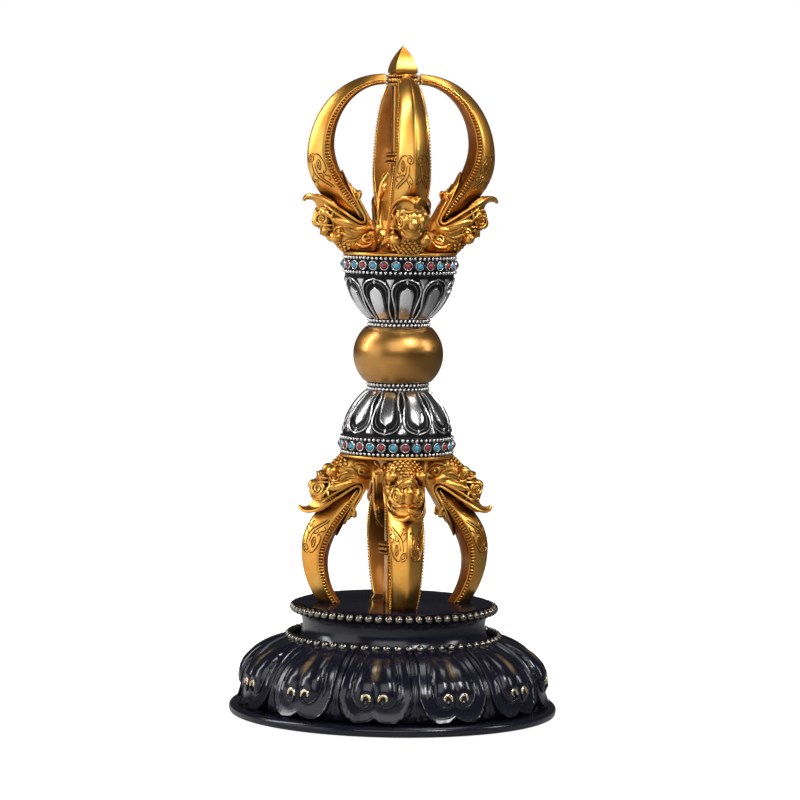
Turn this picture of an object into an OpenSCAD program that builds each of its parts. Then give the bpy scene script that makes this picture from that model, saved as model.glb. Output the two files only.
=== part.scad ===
// Dorje vajra standing on a round lotus stand.
// Two gilt crowns of four makara prongs, two oxidised silver lotus cups with stone-set bands and a
// brushed ball are clamped on one tie rod. The lower crown is cut short and stands on the polished
// disc of the stand, where a dowel locates it: the vajra turns on the dowel and lifts off it.
// Millimetres, +Z up, origin at the centre of the felt's underside, front prong towards -Y.

/* [Foot] */
// Radius of the foot plate
foot_r = 51.5; // [48:0.1:60]
// Thickness of the foot plate at its rim
foot_h = 3; // [2.4:0.1:5]
// Thickness of the felt pad
felt_h = 1.2; // [0.9:0.1:2]
// How far the felt stands out below the foot plate
felt_proud = 0.4; // [0.2:0.1:0.6]
// Width of the foot plate's bare rim round the felt
felt_margin = 4.2; // [2:0.1:10]

/* [Lotus] */
// Height of the lotus body
lotus_h = 20.3; // [17:0.1:24]
// Radius of the lotus body at its widest, without its petals
lotus_r = 47; // [44:0.1:48]
// Radius of the lotus body's shoulder
lotus_top_r = 33.6; // [32.5:0.1:36]
// Radius of the lotus body where it meets the foot plate
lotus_foot_r = 45.6; // [43:0.1:47]
// Thickness of the lotus wall
lotus_wall = 3; // [2:0.1:4]
// Number of lotus petals
lotus_petals = 12; // [8:1:14]
// How far a petal stands out of the body
petal_rise = 1; // [0.5:0.1:1.5]
// How far a petal's two lobes stand out of the body
lobe_rise = 2.1; // [1.6:0.1:3]
// Radius of the curl at the end of a lobe
lobe_curl_r = 1.2; // [0.8:0.1:1.6]

/* [Neck and disc] */
// Height of the neck
neck_h = 8.4; // [6:0.1:10]
// Radius of the neck at its waist
neck_r = 28.6; // [26:0.1:29]
// Thickness of the top disc
disc_h = 3; // [2.6:0.1:5]
// Radius of the top disc, to the middle of its beads
disc_r = 31.4; // [30:0.1:34]
// Radius of a bead on the stand
stand_bead_r = 1.4; // [1:0.05:1.45]
// Number of beads round the disc
disc_beads = 64; // [40:1:67]
// Number of beads round the lotus shoulder
lotus_beads = 60; // [40:1:69]

/* [Socket and dowel] */
// Radius of the dowel
dowel_r = 2; // [1.5:0.05:2.3]
// Running clearance round the dowel
dowel_gap = 0.05; // [0.02:0.01:0.09]
// Length of the dowel inside the stand
dowel_in = 15; // [10:0.5:18]
// Length of the dowel above the disc
dowel_out = 14; // [8:0.5:20]
// Outer radius of the socket tube
tube_r = 4.5; // [3.5:0.1:5]
// Width of the tube nut across its flats
nut_w = 13; // [11.5:0.1:14]
// Thickness of the tube nut
nut_h = 3; // [2:0.1:4]
// Thickness of the tube washer
washer_h = 0.8; // [0.5:0.1:1.2]

/* [Ball and collars] */
// Radius of the ball at its equator
ball_r = 14.1; // [12:0.1:16]
// Height of the ball
ball_h = 17; // [14:0.1:20]
// Height of a collar
collar_h = 3; // [2.8:0.1:4]
// Radius of a collar, to the middle of its beads
collar_r = 9.4; // [8.6:0.1:10]
// Radius of a collar bead
collar_bead_r = 0.6; // [0.4:0.02:0.64]
// Number of beads in a collar row
collar_beads = 44; // [24:1:45]

/* [Lotus cups] */
// Height of a cup
cup_h = 13.7; // [11:0.1:18]
// Radius of a cup at its rim
cup_rim_r = 17.1; // [16.4:0.1:17.6]
// Radius of a cup at its foot
cup_foot_r = 9.6; // [8.8:0.1:11]
// How far a cup's wall bellies out
cup_belly = 1.5; // [0.8:0.1:2.2]
// Thickness of a cup's wall
cup_wall = 2.2; // [1.6:0.1:3]
// Number of petals round a cup
cup_petals = 10; // [8:1:12]
// How far a cup's petal rim stands out
cup_petal_rise = 0.5; // [0.3:0.05:0.8]
// Turn of the lower cup's petals against the upper ones, in degrees
lower_cup_turn = 15; // [0:1:36]

/* [Gem bands] */
// Height of a gem band
band_h = 5.8; // [5.4:0.1:8]
// Outer radius of a gem band
band_r = 17.1; // [16.8:0.1:18.4]
// Thickness of a gem band's wall
band_wall = 2; // [1.6:0.1:2.4]
// Number of stones round a band, in two colours
stones = 30; // [16:2:30]
// Outer radius of a stone's bezel
bezel_r = 1.45; // [1.2:0.05:1.45]
// Radius of a stone
stone_r = 1.1; // [0.8:0.05:1.1]
// How far a bezel stands out of its band
bezel_proud = 0.9; // [0.6:0.05:1.2]
// Radius of a bead on a band
band_bead_r = 0.7; // [0.5:0.02:0.7]
// Number of beads in a band's row
band_beads = 72; // [48:1:74]

/* [Crowns] */
// Height of a whole crown, from its plate to its prong ends
crown_h = 55.3; // [50:0.1:62]
// Length cut off the lower crown, so that it stands on the disc
crown_cut = 9.4; // [7:0.1:14]
// Radius of a crown at its widest
crown_r = 29.7; // [27:0.1:33]
// Height of a crown's widest place above its plate
crown_bulge_h = 29; // [26:0.1:32]
// Radius of a crown's plate
crown_plate_r = 17.9; // [17.2:0.1:19]
// Thickness of a crown plate's flange
crown_plate_h = 1; // [0.8:0.1:2]
// Depth of a prong at its widest place, from ridge to back
prong_depth = 8.2; // [6:0.1:10]
// Half the width of a prong at its widest place
prong_half_w = 5.4; // [4:0.1:6.2]
// Radius of the peg that fixes a prong in its plate
peg_r = 1.5; // [1:0.1:2]
// Length of that peg
peg_h = 2; // [1:0.1:3]

/* [Makara heads] */
// Reach of the upper lip's tip from the axis
lip_r = 30.6; // [29:0.1:31.5]
// Height of the upper lip's tip above the plate
lip_h = 16.3; // [15:0.1:18]
// Radius of the rolled trunk
trunk_r = 2.6; // [2:0.1:3]
// Width of the rolled trunk
trunk_w = 5; // [3:0.1:7]
// Width across the eyes
eyes_w = 11.6; // [9:0.1:13]
// Height of the jaw leaf's tip above the plate
leaf_h = 25; // [22:0.1:27]

/* [Centre prongs and finial] */
// Width of a centre prong across its flats
centre_w = 6.4; // [5.6:0.1:7]
// Height of a centre prong's middle knot above its plate
knot_h = 29; // [24:0.5:32]
// Radius of a centre prong's knots
knot_r = 5.2; // [4.6:0.1:5.6]
// Width of the finial across its flats
finial_w = 7.4; // [6.6:0.1:9]
// Height of the finial
finial_h = 8.8; // [7:0.1:12]
// Radius of the tie rod
rod_r = 2; // [1.5:0.05:2.2]
// Clearance round the tie rod
rod_gap = 0.1; // [0.05:0.05:0.2]

/* [Hidden] */
$fn = 48;
// Clearance between pieces that are set in one another
fit = 0.05;
eps = 0.01;

// Heights of the stand, from the felt upwards
foot_z = felt_proud;
foot_top = foot_z + foot_h;
lotus_top = foot_top + lotus_h;
disc_z = lotus_top + neck_h;
disc_top = disc_z + disc_h;

// Heights of the vajra, from the disc upwards, a hair above it so that the vajra turns freely
low_crown_h = crown_h - crown_cut;
seat_gap = 0.02;
low_plate_z = disc_top + seat_gap + low_crown_h;
half_ball = ball_h / 2;
half_stack = half_ball + collar_h + cup_h + band_h + crown_plate_h;
ball_z = low_plate_z + half_stack;
high_plate_z = ball_z + half_stack;
crown_top = high_plate_z + crown_h;

// Bead rings of the stand
stand_bead_sink = 0.55 * stand_bead_r;
disc_bead_z = disc_top - stand_bead_sink;
lotus_bead_r = lotus_top_r - 0.6 * stand_bead_r;
lotus_bead_z = lotus_top + stand_bead_sink;

// Gem bands, in heights above the ball's middle
stone_z = half_stack - crown_plate_h - band_h / 2;
band_bead_ring_r = band_r + 0.3;

// Registers that centre the stand's castings on one another
register_h = 1.6;
register_r = lotus_foot_r - lotus_wall;
neck_bore_r = 20;
neck_register_r = 24;

// Boss and counterbore for the tube nut, above the felt
nut_corner_r = nut_w / 2 / cos(30);
counterbore_r = nut_corner_r + 1;
boss_r = counterbore_r + 3.5;
felt_top = felt_h;
nut_z = felt_top + 0.4;
washer_z = nut_z + nut_h;
boss_seat_z = washer_z + washer_h;
boss_top = boss_seat_z + 2.5;

// Socket tube and dowel
tube_flange_r = tube_r + 2.5;
tube_flange_h = 1.2;
tube_z = nut_z;
dowel_z = disc_top - dowel_in;
dowel_top = disc_top + dowel_out;
dowel_end_gap = 1;
dowel_bore_r = dowel_r + dowel_gap;

// Tie rod, from above the dowel to the finial
rod_web = 2.5;
rod_z = dowel_top + dowel_end_gap + rod_web;
rod_bore_r = rod_r + rod_gap;
rod_top = crown_top + 0.45 * finial_h;

// Prong outlines in a crown's own plane: radius and height above the plate
mouth_r = 14.3;
mouth_h = 11.1;
back_r = crown_r - prong_depth;
prong_end_r = knot_r + 0.25;
prong_end_depth = 3.3;
prong_end_half_w = 2;
peg_place = 12.5;
prong_steps = 8;
bead_line = 0.4;
back_share = 0.35;
outer_low = [[mouth_r + 1.4, mouth_h - 0.5], [mouth_r + 7.8, mouth_h + 5.4],
    [crown_r, crown_bulge_h - 8], [crown_r, crown_bulge_h]];
outer_high = [[crown_r, crown_bulge_h], [crown_r, crown_bulge_h + 13],
    [0.7 * crown_r, crown_h], [prong_end_r, crown_h]];
inner_low = [[mouth_r - 1.4, mouth_h + 0.5], [mouth_r + 0.2, mouth_h + 6.9],
    [back_r, crown_bulge_h - 4], [back_r, crown_bulge_h + 4.2]];
inner_high = [[back_r, crown_bulge_h + 4.2], [back_r, crown_bulge_h + 13.5],
    [0.7 * back_r, crown_h - prong_end_depth], [prong_end_r, crown_h - prong_end_depth]];
width_low = [3.4, prong_half_w + 1.4, prong_half_w + 0.8, prong_half_w];
width_high = [prong_half_w, 0.9 * prong_half_w, 0.62 * prong_half_w, prong_end_half_w];

// Compass turns of a crown's prongs about the axis, the prong lying along +X before it is turned
FRONT = -90;
RIGHT = 0;
BACK = 90;
LEFT = 180;

// Point of a cubic curve at t, for points or for plain numbers
function curve(p, t) = pow(1 - t, 3) * p[0] + 3 * pow(1 - t, 2) * t * p[1]
    + 3 * (1 - t) * t * t * p[2] + t * t * t * p[3];

// Points of a cubic curve, without the last one if it is left to the next curve
function curve_points(p, steps, last = true) = [for (i = [0 : last ? steps : steps - 1]) curve(p, i / steps)];

// Centre of the arc from p to q that stands sag out of their chord, on the chord's right
function arc_radius(p, q, sag) = (pow(norm(q - p) / 2, 2) + sag * sag) / (2 * sag);
function arc_centre(p, q, sag) = (p + q) / 2
    + (arc_radius(p, q, sag) - sag) * [-(q - p)[1], (q - p)[0]] / norm(q - p);

// A ring of copies about the axis
module ring_of(count, radius, z = 0, turn = 0, step = 1) {
    for (i = [0 : step : count - 1]) rotate(turn + 360 * i / count) translate([radius, 0, z]) children();
}

// A round bar or hole on the axis
module round_bar(radius, z, height) {
    translate([0, 0, z]) cylinder(r = radius, h = height);
}

// Pieces of the stand

module felt_pad() color("dimgray") round_bar(foot_r - felt_margin, 0, felt_h);

module foot_plate() color([0.07, 0.07, 0.08]) difference() {
    union() {
        round_bar(foot_r, foot_z, foot_h);
        round_bar(register_r - fit, foot_top - eps, register_h);
        round_bar(boss_r, foot_top - eps, boss_top - foot_top);
    }
    round_bar(foot_r - felt_margin + fit, foot_z - 1, felt_top - foot_z + 1);
    round_bar(counterbore_r, felt_top - eps, boss_seat_z - felt_top + eps);
    round_bar(tube_r + fit, 0, boss_top + 1);
}

// Outline of the lotus body from its foot to its shoulder, raised by rise
function lotus_outline(rise) = curve_points([
    [lotus_foot_r + rise, foot_top], [lotus_r + 3.4 + rise, foot_top + 0.3 * lotus_h],
    [lotus_r - 3.2 + rise, foot_top + 0.82 * lotus_h], [lotus_top_r + 0.7 * rise, lotus_top]
], 12);

module lotus_skin(rise, depth) {
    rotate_extrude() polygon(concat(
        [[register_r - depth, foot_top]], lotus_outline(rise), [[lotus_top_r - depth, lotus_top]]
    ));
}

// Half outline of a lotus petal, seen from outside: a narrow root above and a broad double foot below
function petal_side(half_w, low, high) = concat(
    [[0, low + 0.9]],
    curve_points([[0.1 * half_w, low], [0.9 * half_w, low - 0.4], [1.12 * half_w, low + 4], [0.9 * half_w, low + 9]],
        6, false),
    curve_points([[0.9 * half_w, low + 9], [0.72 * half_w, low + 13], [0.56 * half_w, high - 3],
        [0.5 * half_w, high]], 4)
);
function mirrored(side) = concat(side, [for (i = [len(side) - 1 : -1 : 0]) [-side[i][0], side[i][1]]]);

// Turns a drawing in the plane of width and height to face outwards along +X, from near to far
module facing_out(near, far) {
    translate([near, 0, 0]) rotate([90, 0, 90]) linear_extrude(far - near) children();
}

module lotus_petal_cutter() {
    half_w = PI * lotus_r / lotus_petals - 0.35;
    facing_out(0.55 * lotus_top_r, 1.4 * lotus_r) polygon(mirrored(petal_side(half_w, foot_top + 0.4, lotus_top)));
}

module lobe_cutter() {
    lobe_w = 0.3 * PI * lotus_r / lotus_petals;
    lobe_low = foot_top + 0.3 * lotus_h;
    for (side = [-1, 1])
        facing_out(0.55 * lotus_top_r, 1.4 * lotus_r) translate([side * (lobe_w + 0.15), 0])
            polygon([[-lobe_w, lobe_low + 1.5], [0, lobe_low], [lobe_w, lobe_low + 1.5],
                [0.9 * lobe_w, lotus_top - 4], [0, lotus_top - 1.5], [-0.9 * lobe_w, lotus_top - 4]]);
}

module lotus_body() color([0.05, 0.05, 0.06]) difference() {
    union() {
        lotus_skin(0, 0);
        intersection() {
            lotus_skin(petal_rise, 0);
            for (i = [0 : lotus_petals - 1]) rotate((i + 0.5) * 360 / lotus_petals + FRONT) lotus_petal_cutter();
        }
        intersection() {
            lotus_skin(lobe_rise, 0);
            for (i = [0 : lotus_petals - 1]) rotate((i + 0.5) * 360 / lotus_petals + FRONT) lobe_cutter();
        }
    }
    round_bar(register_r, foot_top - 1, lotus_h - lotus_wall - 5 + 1);
    round_bar(lotus_top_r - lotus_wall, foot_top, lotus_h - lotus_wall);
    round_bar(neck_register_r + fit, foot_top, lotus_h + 1);
    bead_groove(lotus_bead_r, lotus_bead_z, stand_bead_r);
}

// Groove that seats a ring of beads
module bead_groove(radius, z, bead_r) {
    translate([0, 0, z]) rotate_extrude() translate([radius, 0]) circle(bead_r + fit);
}

module bead_ring(count, radius, z, bead_r) ring_of(count, radius, z) sphere(bead_r, $fn = 24);

module lotus_bead_ring() color("black") bead_ring(lotus_beads, lotus_bead_r, lotus_bead_z, stand_bead_r);

module neck_ring() color([0.06, 0.06, 0.08]) {
    flare = 1.6;
    rotate_extrude() polygon(concat(
        [[neck_bore_r, lotus_top], [neck_bore_r, disc_z]],
        curve_points([[neck_r + flare, disc_z], [neck_r, disc_z - 0.25 * neck_h],
            [neck_r, lotus_top + 0.3 * neck_h], [neck_r + 0.7 * flare, lotus_top]], 8)
    ));
    translate([0, 0, lotus_top - register_h]) difference() {
        cylinder(r = neck_register_r, h = register_h + eps);
        translate([0, 0, -1]) cylinder(r = neck_bore_r, h = register_h + 2);
    }
}

module top_disc() color([0.03, 0.03, 0.03]) difference() {
    union() {
        round_bar(disc_r, disc_z, disc_h);
        round_bar(neck_bore_r - fit, disc_z - register_h, register_h + eps);
    }
    bead_groove(disc_r, disc_bead_z, stand_bead_r);
    round_bar(tube_r + fit, 0, disc_top + 1);
    round_bar(tube_flange_r + fit, disc_top - tube_flange_h, tube_flange_h + 1);
}

module disc_bead_ring() color("black") bead_ring(disc_beads, disc_r, disc_bead_z, stand_bead_r);

module socket_tube() color("goldenrod") difference() {
    union() {
        round_bar(tube_r, tube_z, disc_top - tube_z);
        round_bar(tube_flange_r, disc_top - tube_flange_h, tube_flange_h);
    }
    round_bar(dowel_bore_r, dowel_z - dowel_gap, dowel_in + 1);
}

module tube_washer() color("silver") difference() {
    round_bar(nut_corner_r, washer_z, washer_h);
    round_bar(tube_r + fit, washer_z - 1, washer_h + 2);
}

module tube_nut() color("silver") difference() {
    translate([0, 0, nut_z]) cylinder(r = nut_corner_r, h = nut_h, $fn = 6);
    round_bar(tube_r + fit, nut_z - 1, nut_h + 2);
}

module dowel() color("lightsteelblue") round_bar(dowel_r, dowel_z, dowel_in + dowel_out);

// Pieces of the vajra's shaft. A half is drawn above the ball's middle and mirrored for the lower one.

module at_ball(upper) translate([0, 0, ball_z]) mirror([0, 0, upper ? 0 : 1]) children();

module tie_rod() color("silver") round_bar(rod_r, rod_z, rod_top - rod_z);

module ball() color("darkgoldenrod") {
    end_r = collar_r + 1;
    sag = ball_r - end_r;
    radius = arc_radius([end_r, -half_ball], [end_r, half_ball], sag);
    translate([0, 0, ball_z]) rotate_extrude() intersection() {
        translate([ball_r - radius, 0]) circle(radius, $fn = 96);
        translate([rod_bore_r, -half_ball]) square([ball_r, ball_h]);
    }
}

module collar(upper) color("dimgray") at_ball(upper) difference() {
    round_bar(collar_r, half_ball, collar_h);
    for (row = [0.27, 0.73]) bead_groove(collar_r, half_ball + row * collar_h, collar_bead_r);
    round_bar(rod_bore_r, 0, half_stack);
}

module collar_bead_rows(upper) color("silver") at_ball(upper)
    for (row = [0.27, 0.73]) bead_ring(collar_beads, collar_r, half_ball + row * collar_h, collar_bead_r);

// Section of a cup: the belly's arc, cut off at foot and rim
module cup_section(rise) {
    low = half_ball + collar_h;
    foot = [cup_foot_r + rise, low];
    rim = [cup_rim_r + rise, low + cup_h];
    intersection() {
        translate(arc_centre(foot, rim, cup_belly)) circle(arc_radius(foot, rim, cup_belly), $fn = 96);
        translate([rod_bore_r, low]) square([cup_rim_r + rise, cup_h]);
    }
}

// Half outline of a cup petal, its root at the foot and its round tip towards the rim
function cup_petal_side(half_w, low, high) = concat(
    curve_points([[0.42 * half_w, low], [0.5 * half_w, low + 3], [half_w, low + 5], [half_w, low + 7.2]], 6, false),
    curve_points([[half_w, low + 7.2], [half_w, high - 1.2], [0.35 * half_w, high - 0.6], [0, high]], 6)
);

module cup_petal_rim() {
    half_w = PI * cup_rim_r / cup_petals - 0.5;
    low = half_ball + collar_h;
    high = low + cup_h - 2.2;
    facing_out(0.5 * cup_foot_r, 1.4 * cup_rim_r) difference() {
        polygon(mirrored(cup_petal_side(half_w, low - 1, high)));
        polygon(mirrored(cup_petal_side(half_w - 0.65, low - 2, high - 0.8)));
    }
}

module cup_petal_panel() {
    half_w = PI * cup_rim_r / cup_petals - 2.2;
    low = half_ball + collar_h;
    facing_out(0.5 * cup_foot_r, 1.4 * cup_rim_r)
        polygon(mirrored(cup_petal_side(half_w, low - 1, low + cup_h - 4.2)));
}

module cup(upper) color("darkgray") at_ball(upper) {
    turn = upper ? 0 : lower_cup_turn;
    low = half_ball + collar_h;
    difference() {
        union() {
            rotate_extrude() cup_section(0);
            intersection() {
                rotate_extrude() cup_section(cup_petal_rise);
                for (i = [0 : cup_petals - 1]) rotate(turn + FRONT + 360 * i / cup_petals) {
                    cup_petal_rim();
                    cup_petal_panel();
                }
            }
        }
        rotate_extrude() intersection() {
            translate([0, cup_wall]) cup_section(-cup_wall);
            translate([rod_bore_r, low + cup_wall]) square([cup_rim_r, cup_h]);
        }
        round_bar(rod_bore_r, low - 1, cup_h + 2);
    }
}

function band_bead_z(row) = stone_z + row * (band_h / 2 - band_bead_r);

module gem_band(upper) color("gray") at_ball(upper) difference() {
    round_bar(band_r, stone_z - band_h / 2, band_h);
    round_bar(band_r - band_wall, stone_z - band_h, 2 * band_h);
    for (row = [-1, 1]) bead_groove(band_bead_ring_r, band_bead_z(row), band_bead_r);
    ring_of(stones, band_r - band_wall - 1, stone_z, FRONT)
        rotate([0, 90, 0]) cylinder(r = bezel_r + fit, h = band_wall + 2);
}

module band_bead_rows(upper) color("silver") at_ball(upper)
    for (row = [-1, 1]) bead_ring(band_beads, band_bead_ring_r, band_bead_z(row), band_bead_r);

// A bezel is a small cup with a floor, set through the band's wall
module bezels(upper) color("silver") at_ball(upper)
    ring_of(stones, band_r - band_wall + fit, stone_z, FRONT) rotate([0, 90, 0]) difference() {
        cylinder(r = bezel_r, h = band_wall + bezel_proud);
        translate([0, 0, 0.5 * band_wall]) cylinder(r = stone_r + fit, h = band_wall + bezel_proud);
    }

// Every second stone of a band, a cabochon seated in its bezel
module stone_row(upper, first) at_ball(upper)
    ring_of(stones, band_r - 0.5 * band_wall + 2 * fit, stone_z, FRONT + first * 360 / stones, 2)
        rotate([0, 90, 0]) rotate_extrude($fn = 32) intersection() {
            square([stone_r, 0.5 * band_wall + bezel_proud + 0.6 * stone_r]);
            translate([0, -0.6 * stone_r + 0.5 * band_wall + bezel_proud]) circle(1.2 * stone_r, $fn = 48);
        }

// Crowns. A crown is drawn above its plate and mirrored for the lower one.

module at_crown(upper)
    translate([0, 0, upper ? high_plate_z : low_plate_z]) mirror([0, 0, upper ? 0 : 1]) children();

// Gilt plate under the heads, with a boss inside the gem band and a hole for each prong's peg
module crown_plate(upper) color("goldenrod") at_crown(upper) difference() {
    union() {
        round_bar(crown_plate_r, -crown_plate_h, crown_plate_h);
        round_bar(band_r - band_wall - fit, -crown_plate_h - 0.75 * band_h, 0.75 * band_h + eps);
    }
    for (turn = [FRONT, RIGHT, BACK, LEFT])
        rotate(turn) translate([peg_place, 0, -peg_h - fit]) cylinder(r = peg_r + 2 * fit, h = peg_h + 1);
    round_bar(rod_bore_r, -2 * band_h, 3 * band_h);
}

// Five corners of a prong's section: the ridge, the two bead lines and the narrow back
function prong_section(outer, inner, half_w) = [
    for (corner = [[1, 0], [bead_line, 1], [0, back_share], [0, -back_share], [bead_line, -1]])
        let (p = inner + corner[0] * (outer - inner)) [p[0], corner[1] * half_w, p[1]]
];
function prong_rings(outer, inner, width, last) = [
    for (i = [0 : last ? prong_steps : prong_steps - 1])
        let (t = i / prong_steps) prong_section(curve(outer, t), curve(inner, t), curve(width, t))
];

// A closed skin over rings of points
module skin_over(rings) {
    n = len(rings[0]);
    last = (len(rings) - 1) * n;
    polyhedron(
        points = [for (ring = rings) each ring],
        faces = concat(
            [[for (i = [0 : n - 1]) i]],
            [for (k = [0 : len(rings) - 2]) for (i = [0 : n - 1]) let (j = (i + 1) % n)
                each [[k * n + i, (k + 1) * n + i, (k + 1) * n + j], [k * n + i, (k + 1) * n + j, k * n + j]]],
            [[for (i = [n - 1 : -1 : 0]) last + i]]
        )
    );
}

module prong_bar() skin_over(concat(
    prong_rings(outer_low, inner_low, width_low, false), prong_rings(outer_high, inner_high, width_high, true)
));

// Two like balls either side of a head's plane, placed and sized by shares of the head's own sizes
module head_balls(r, h, gap, radius) {
    for (side = [-1, 1]) translate([r * lip_r, side * gap * eyes_w / 2, h * lip_h]) sphere(radius * lip_h);
}

// A small ball that ends the lip or the jaw leaf
module head_tip(r, h, radius) {
    translate([r - radius, 0, h]) sphere(radius);
}

// Makara head: neck, brow, snout with its rolled trunk, flared upper lip and leafy lower jaw
module makara_head($fn = 10) {
    hull() {
        translate([0.412 * lip_r, 0, fit]) cylinder(r = 0.33 * lip_h, h = 0.04 * lip_h);
        head_balls(0.477, 0.393, 0.45, 0.22);
    }
    hull() {
        head_balls(0.562, 0.218, 0.41, 0.194);
        head_balls(0.66, 0.362, 0.38, 0.176);
    }
    hull() {
        head_balls(0.588, 0.49, 0.345, 0.196);
        head_balls(0.758, 0.687, 0.24, 0.123);
    }
    translate([0.83 * lip_r, 0, 0.61 * lip_h]) rotate([90, 0, 0])
        cylinder(r = trunk_r, h = trunk_w, center = true);
    hull() {
        head_balls(0.673, 0.845, 0.69, 0.067);
        head_balls(0.86, 0.955, 0.655, 0.049);
        head_tip(lip_r, lip_h, 0.03 * lip_h);
    }
    hull() {
        head_balls(0.36, 0.307, 0.52, 0.16);
        head_balls(0.405, 0.736, 0.586, 0.11);
        head_balls(0.438, 1.135, 0.45, 0.049);
    }
    hull() {
        head_balls(0.444, 1.104, 0.38, 0.049);
        head_tip(0.585 * lip_r, leaf_h, 0.025 * lip_h);
    }
    head_balls(0.64, 0.454, 0.76, 0.086);
}

module prong(upper, turn) color("gold") at_crown(upper) rotate(turn) intersection() {
    union() {
        makara_head();
        prong_bar();
        translate([peg_place, 0, -peg_h]) cylinder(r = peg_r, h = peg_h + 1, $fn = 16);
    }
    translate([-crown_r, -crown_r, -peg_h - 1])
        cube([3 * crown_r, 2 * crown_r, peg_h + 1 + (upper ? crown_h + 1 : low_crown_h)]);
}

// A knot is three rings round a centre prong
module knot(z) {
    ring_r = 0.6;
    translate([0, 0, z]) rotate_extrude() {
        translate([0, -1.5]) square([knot_r - 0.5, 3]);
        for (row = [-1, 0, 1]) translate([knot_r - ring_r, row]) circle(ring_r, $fn = 24);
    }
}

module centre_prong(upper) color("gold") at_crown(upper) difference() {
    length = upper ? crown_h : low_crown_h;
    union() {
        translate([-centre_w / 2, -centre_w / 2, 0]) cube([centre_w, centre_w, length]);
        knot(knot_h);
        if (upper) knot(crown_h - 0.5 * prong_end_depth - 0.4);
    }
    round_bar(rod_bore_r, -1, upper ? crown_h + 2 : low_plate_z - rod_z + 1);
    if (!upper) round_bar(dowel_bore_r, low_plate_z - dowel_top - dowel_end_gap, low_plate_z);
}

// Four-sided spear point: two crossed ogives
module finial() color("gold") translate([0, 0, crown_top]) difference() {
    intersection() {
        rotate([90, 0, 0]) ogive_slab();
        rotate([90, 0, 90]) ogive_slab();
    }
    round_bar(rod_bore_r, -1, rod_top - crown_top + 1 + rod_gap);
}
module ogive_slab() {
    radius = arc_radius([finial_w / 2, 0], [0, finial_h], 0.09 * finial_h);
    centre = arc_centre([finial_w / 2, 0], [0, finial_h], 0.09 * finial_h);
    linear_extrude(2 * finial_w, center = true) intersection() {
        translate(centre) circle(radius, $fn = 96);
        translate([-centre[0], centre[1]]) circle(radius, $fn = 96);
        translate([-finial_w / 2, 0]) square([finial_w, finial_h]);
    }
}

felt_pad();
foot_plate();
lotus_body();
lotus_bead_ring();
neck_ring();
top_disc();
disc_bead_ring();
socket_tube();
tube_washer();
tube_nut();
dowel();
tie_rod();
ball();
collar(false);  // lower_collar
collar_bead_rows(false);  // lower_collar_beads
cup(false);  // lower_cup
gem_band(false);  // lower_gem_band
band_bead_rows(false);  // lower_band_beads
bezels(false);  // lower_bezels
color("turquoise") stone_row(false, 1);  // lower_turquoise_stones
color("firebrick") stone_row(false, 0);  // lower_coral_stones
crown_plate(false);  // lower_crown_plate
prong(false, FRONT);  // lower_prong_front
prong(false, RIGHT);  // lower_prong_right
prong(false, BACK);  // lower_prong_back
prong(false, LEFT);  // lower_prong_left
centre_prong(false);  // lower_centre_prong
collar(true);  // upper_collar
collar_bead_rows(true);  // upper_collar_beads
cup(true);  // upper_cup
gem_band(true);  // upper_gem_band
band_bead_rows(true);  // upper_band_beads
bezels(true);  // upper_bezels
color("turquoise") stone_row(true, 1);  // upper_turquoise_stones
color("firebrick") stone_row(true, 0);  // upper_coral_stones
crown_plate(true);  // upper_crown_plate
prong(true, FRONT);  // upper_prong_front
prong(true, RIGHT);  // upper_prong_right
prong(true, BACK);  // upper_prong_back
prong(true, LEFT);  // upper_prong_left
centre_prong(true);  // upper_centre_prong
finial();
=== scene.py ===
import math

import bmesh
import bpy
from mathutils import Matrix, Vector
from mathutils.bvhtree import BVHTree


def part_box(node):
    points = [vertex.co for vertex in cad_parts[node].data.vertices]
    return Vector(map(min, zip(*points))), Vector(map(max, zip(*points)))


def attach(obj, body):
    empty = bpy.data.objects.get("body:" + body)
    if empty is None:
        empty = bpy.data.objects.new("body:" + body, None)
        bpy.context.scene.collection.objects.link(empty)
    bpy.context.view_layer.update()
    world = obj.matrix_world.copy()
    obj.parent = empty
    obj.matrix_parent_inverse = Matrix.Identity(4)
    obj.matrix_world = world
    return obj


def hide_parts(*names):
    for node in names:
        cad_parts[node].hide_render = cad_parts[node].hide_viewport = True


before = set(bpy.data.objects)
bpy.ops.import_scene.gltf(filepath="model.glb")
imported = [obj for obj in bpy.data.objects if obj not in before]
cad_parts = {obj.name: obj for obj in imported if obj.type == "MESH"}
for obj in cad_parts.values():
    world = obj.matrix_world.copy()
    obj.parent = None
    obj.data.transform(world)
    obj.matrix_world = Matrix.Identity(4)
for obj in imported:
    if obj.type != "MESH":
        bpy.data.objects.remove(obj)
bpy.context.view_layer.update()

bl_info = {
    "name": "Dorje Vajra on a Lotus Stand",
    "version": (1, 0, 0),
    "blender": (4, 5, 0),
    "location": "3D View > Sidebar > Vajra",
    "description": "Models and finishes a four-pronged vajra and the lotus stand that carries it",
    "category": "Object",
}

# Shapes are modelled in millimetres and become metres when a piece is set in place
MM = 0.001
TURN = 2 * math.pi
FRONT = -0.25 * TURN


def node_box(node):
    """Lowest and highest corner of one of the frame's nodes, in millimetres."""
    low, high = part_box(node)
    return Vector(low) / MM, Vector(high) / MM


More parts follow.
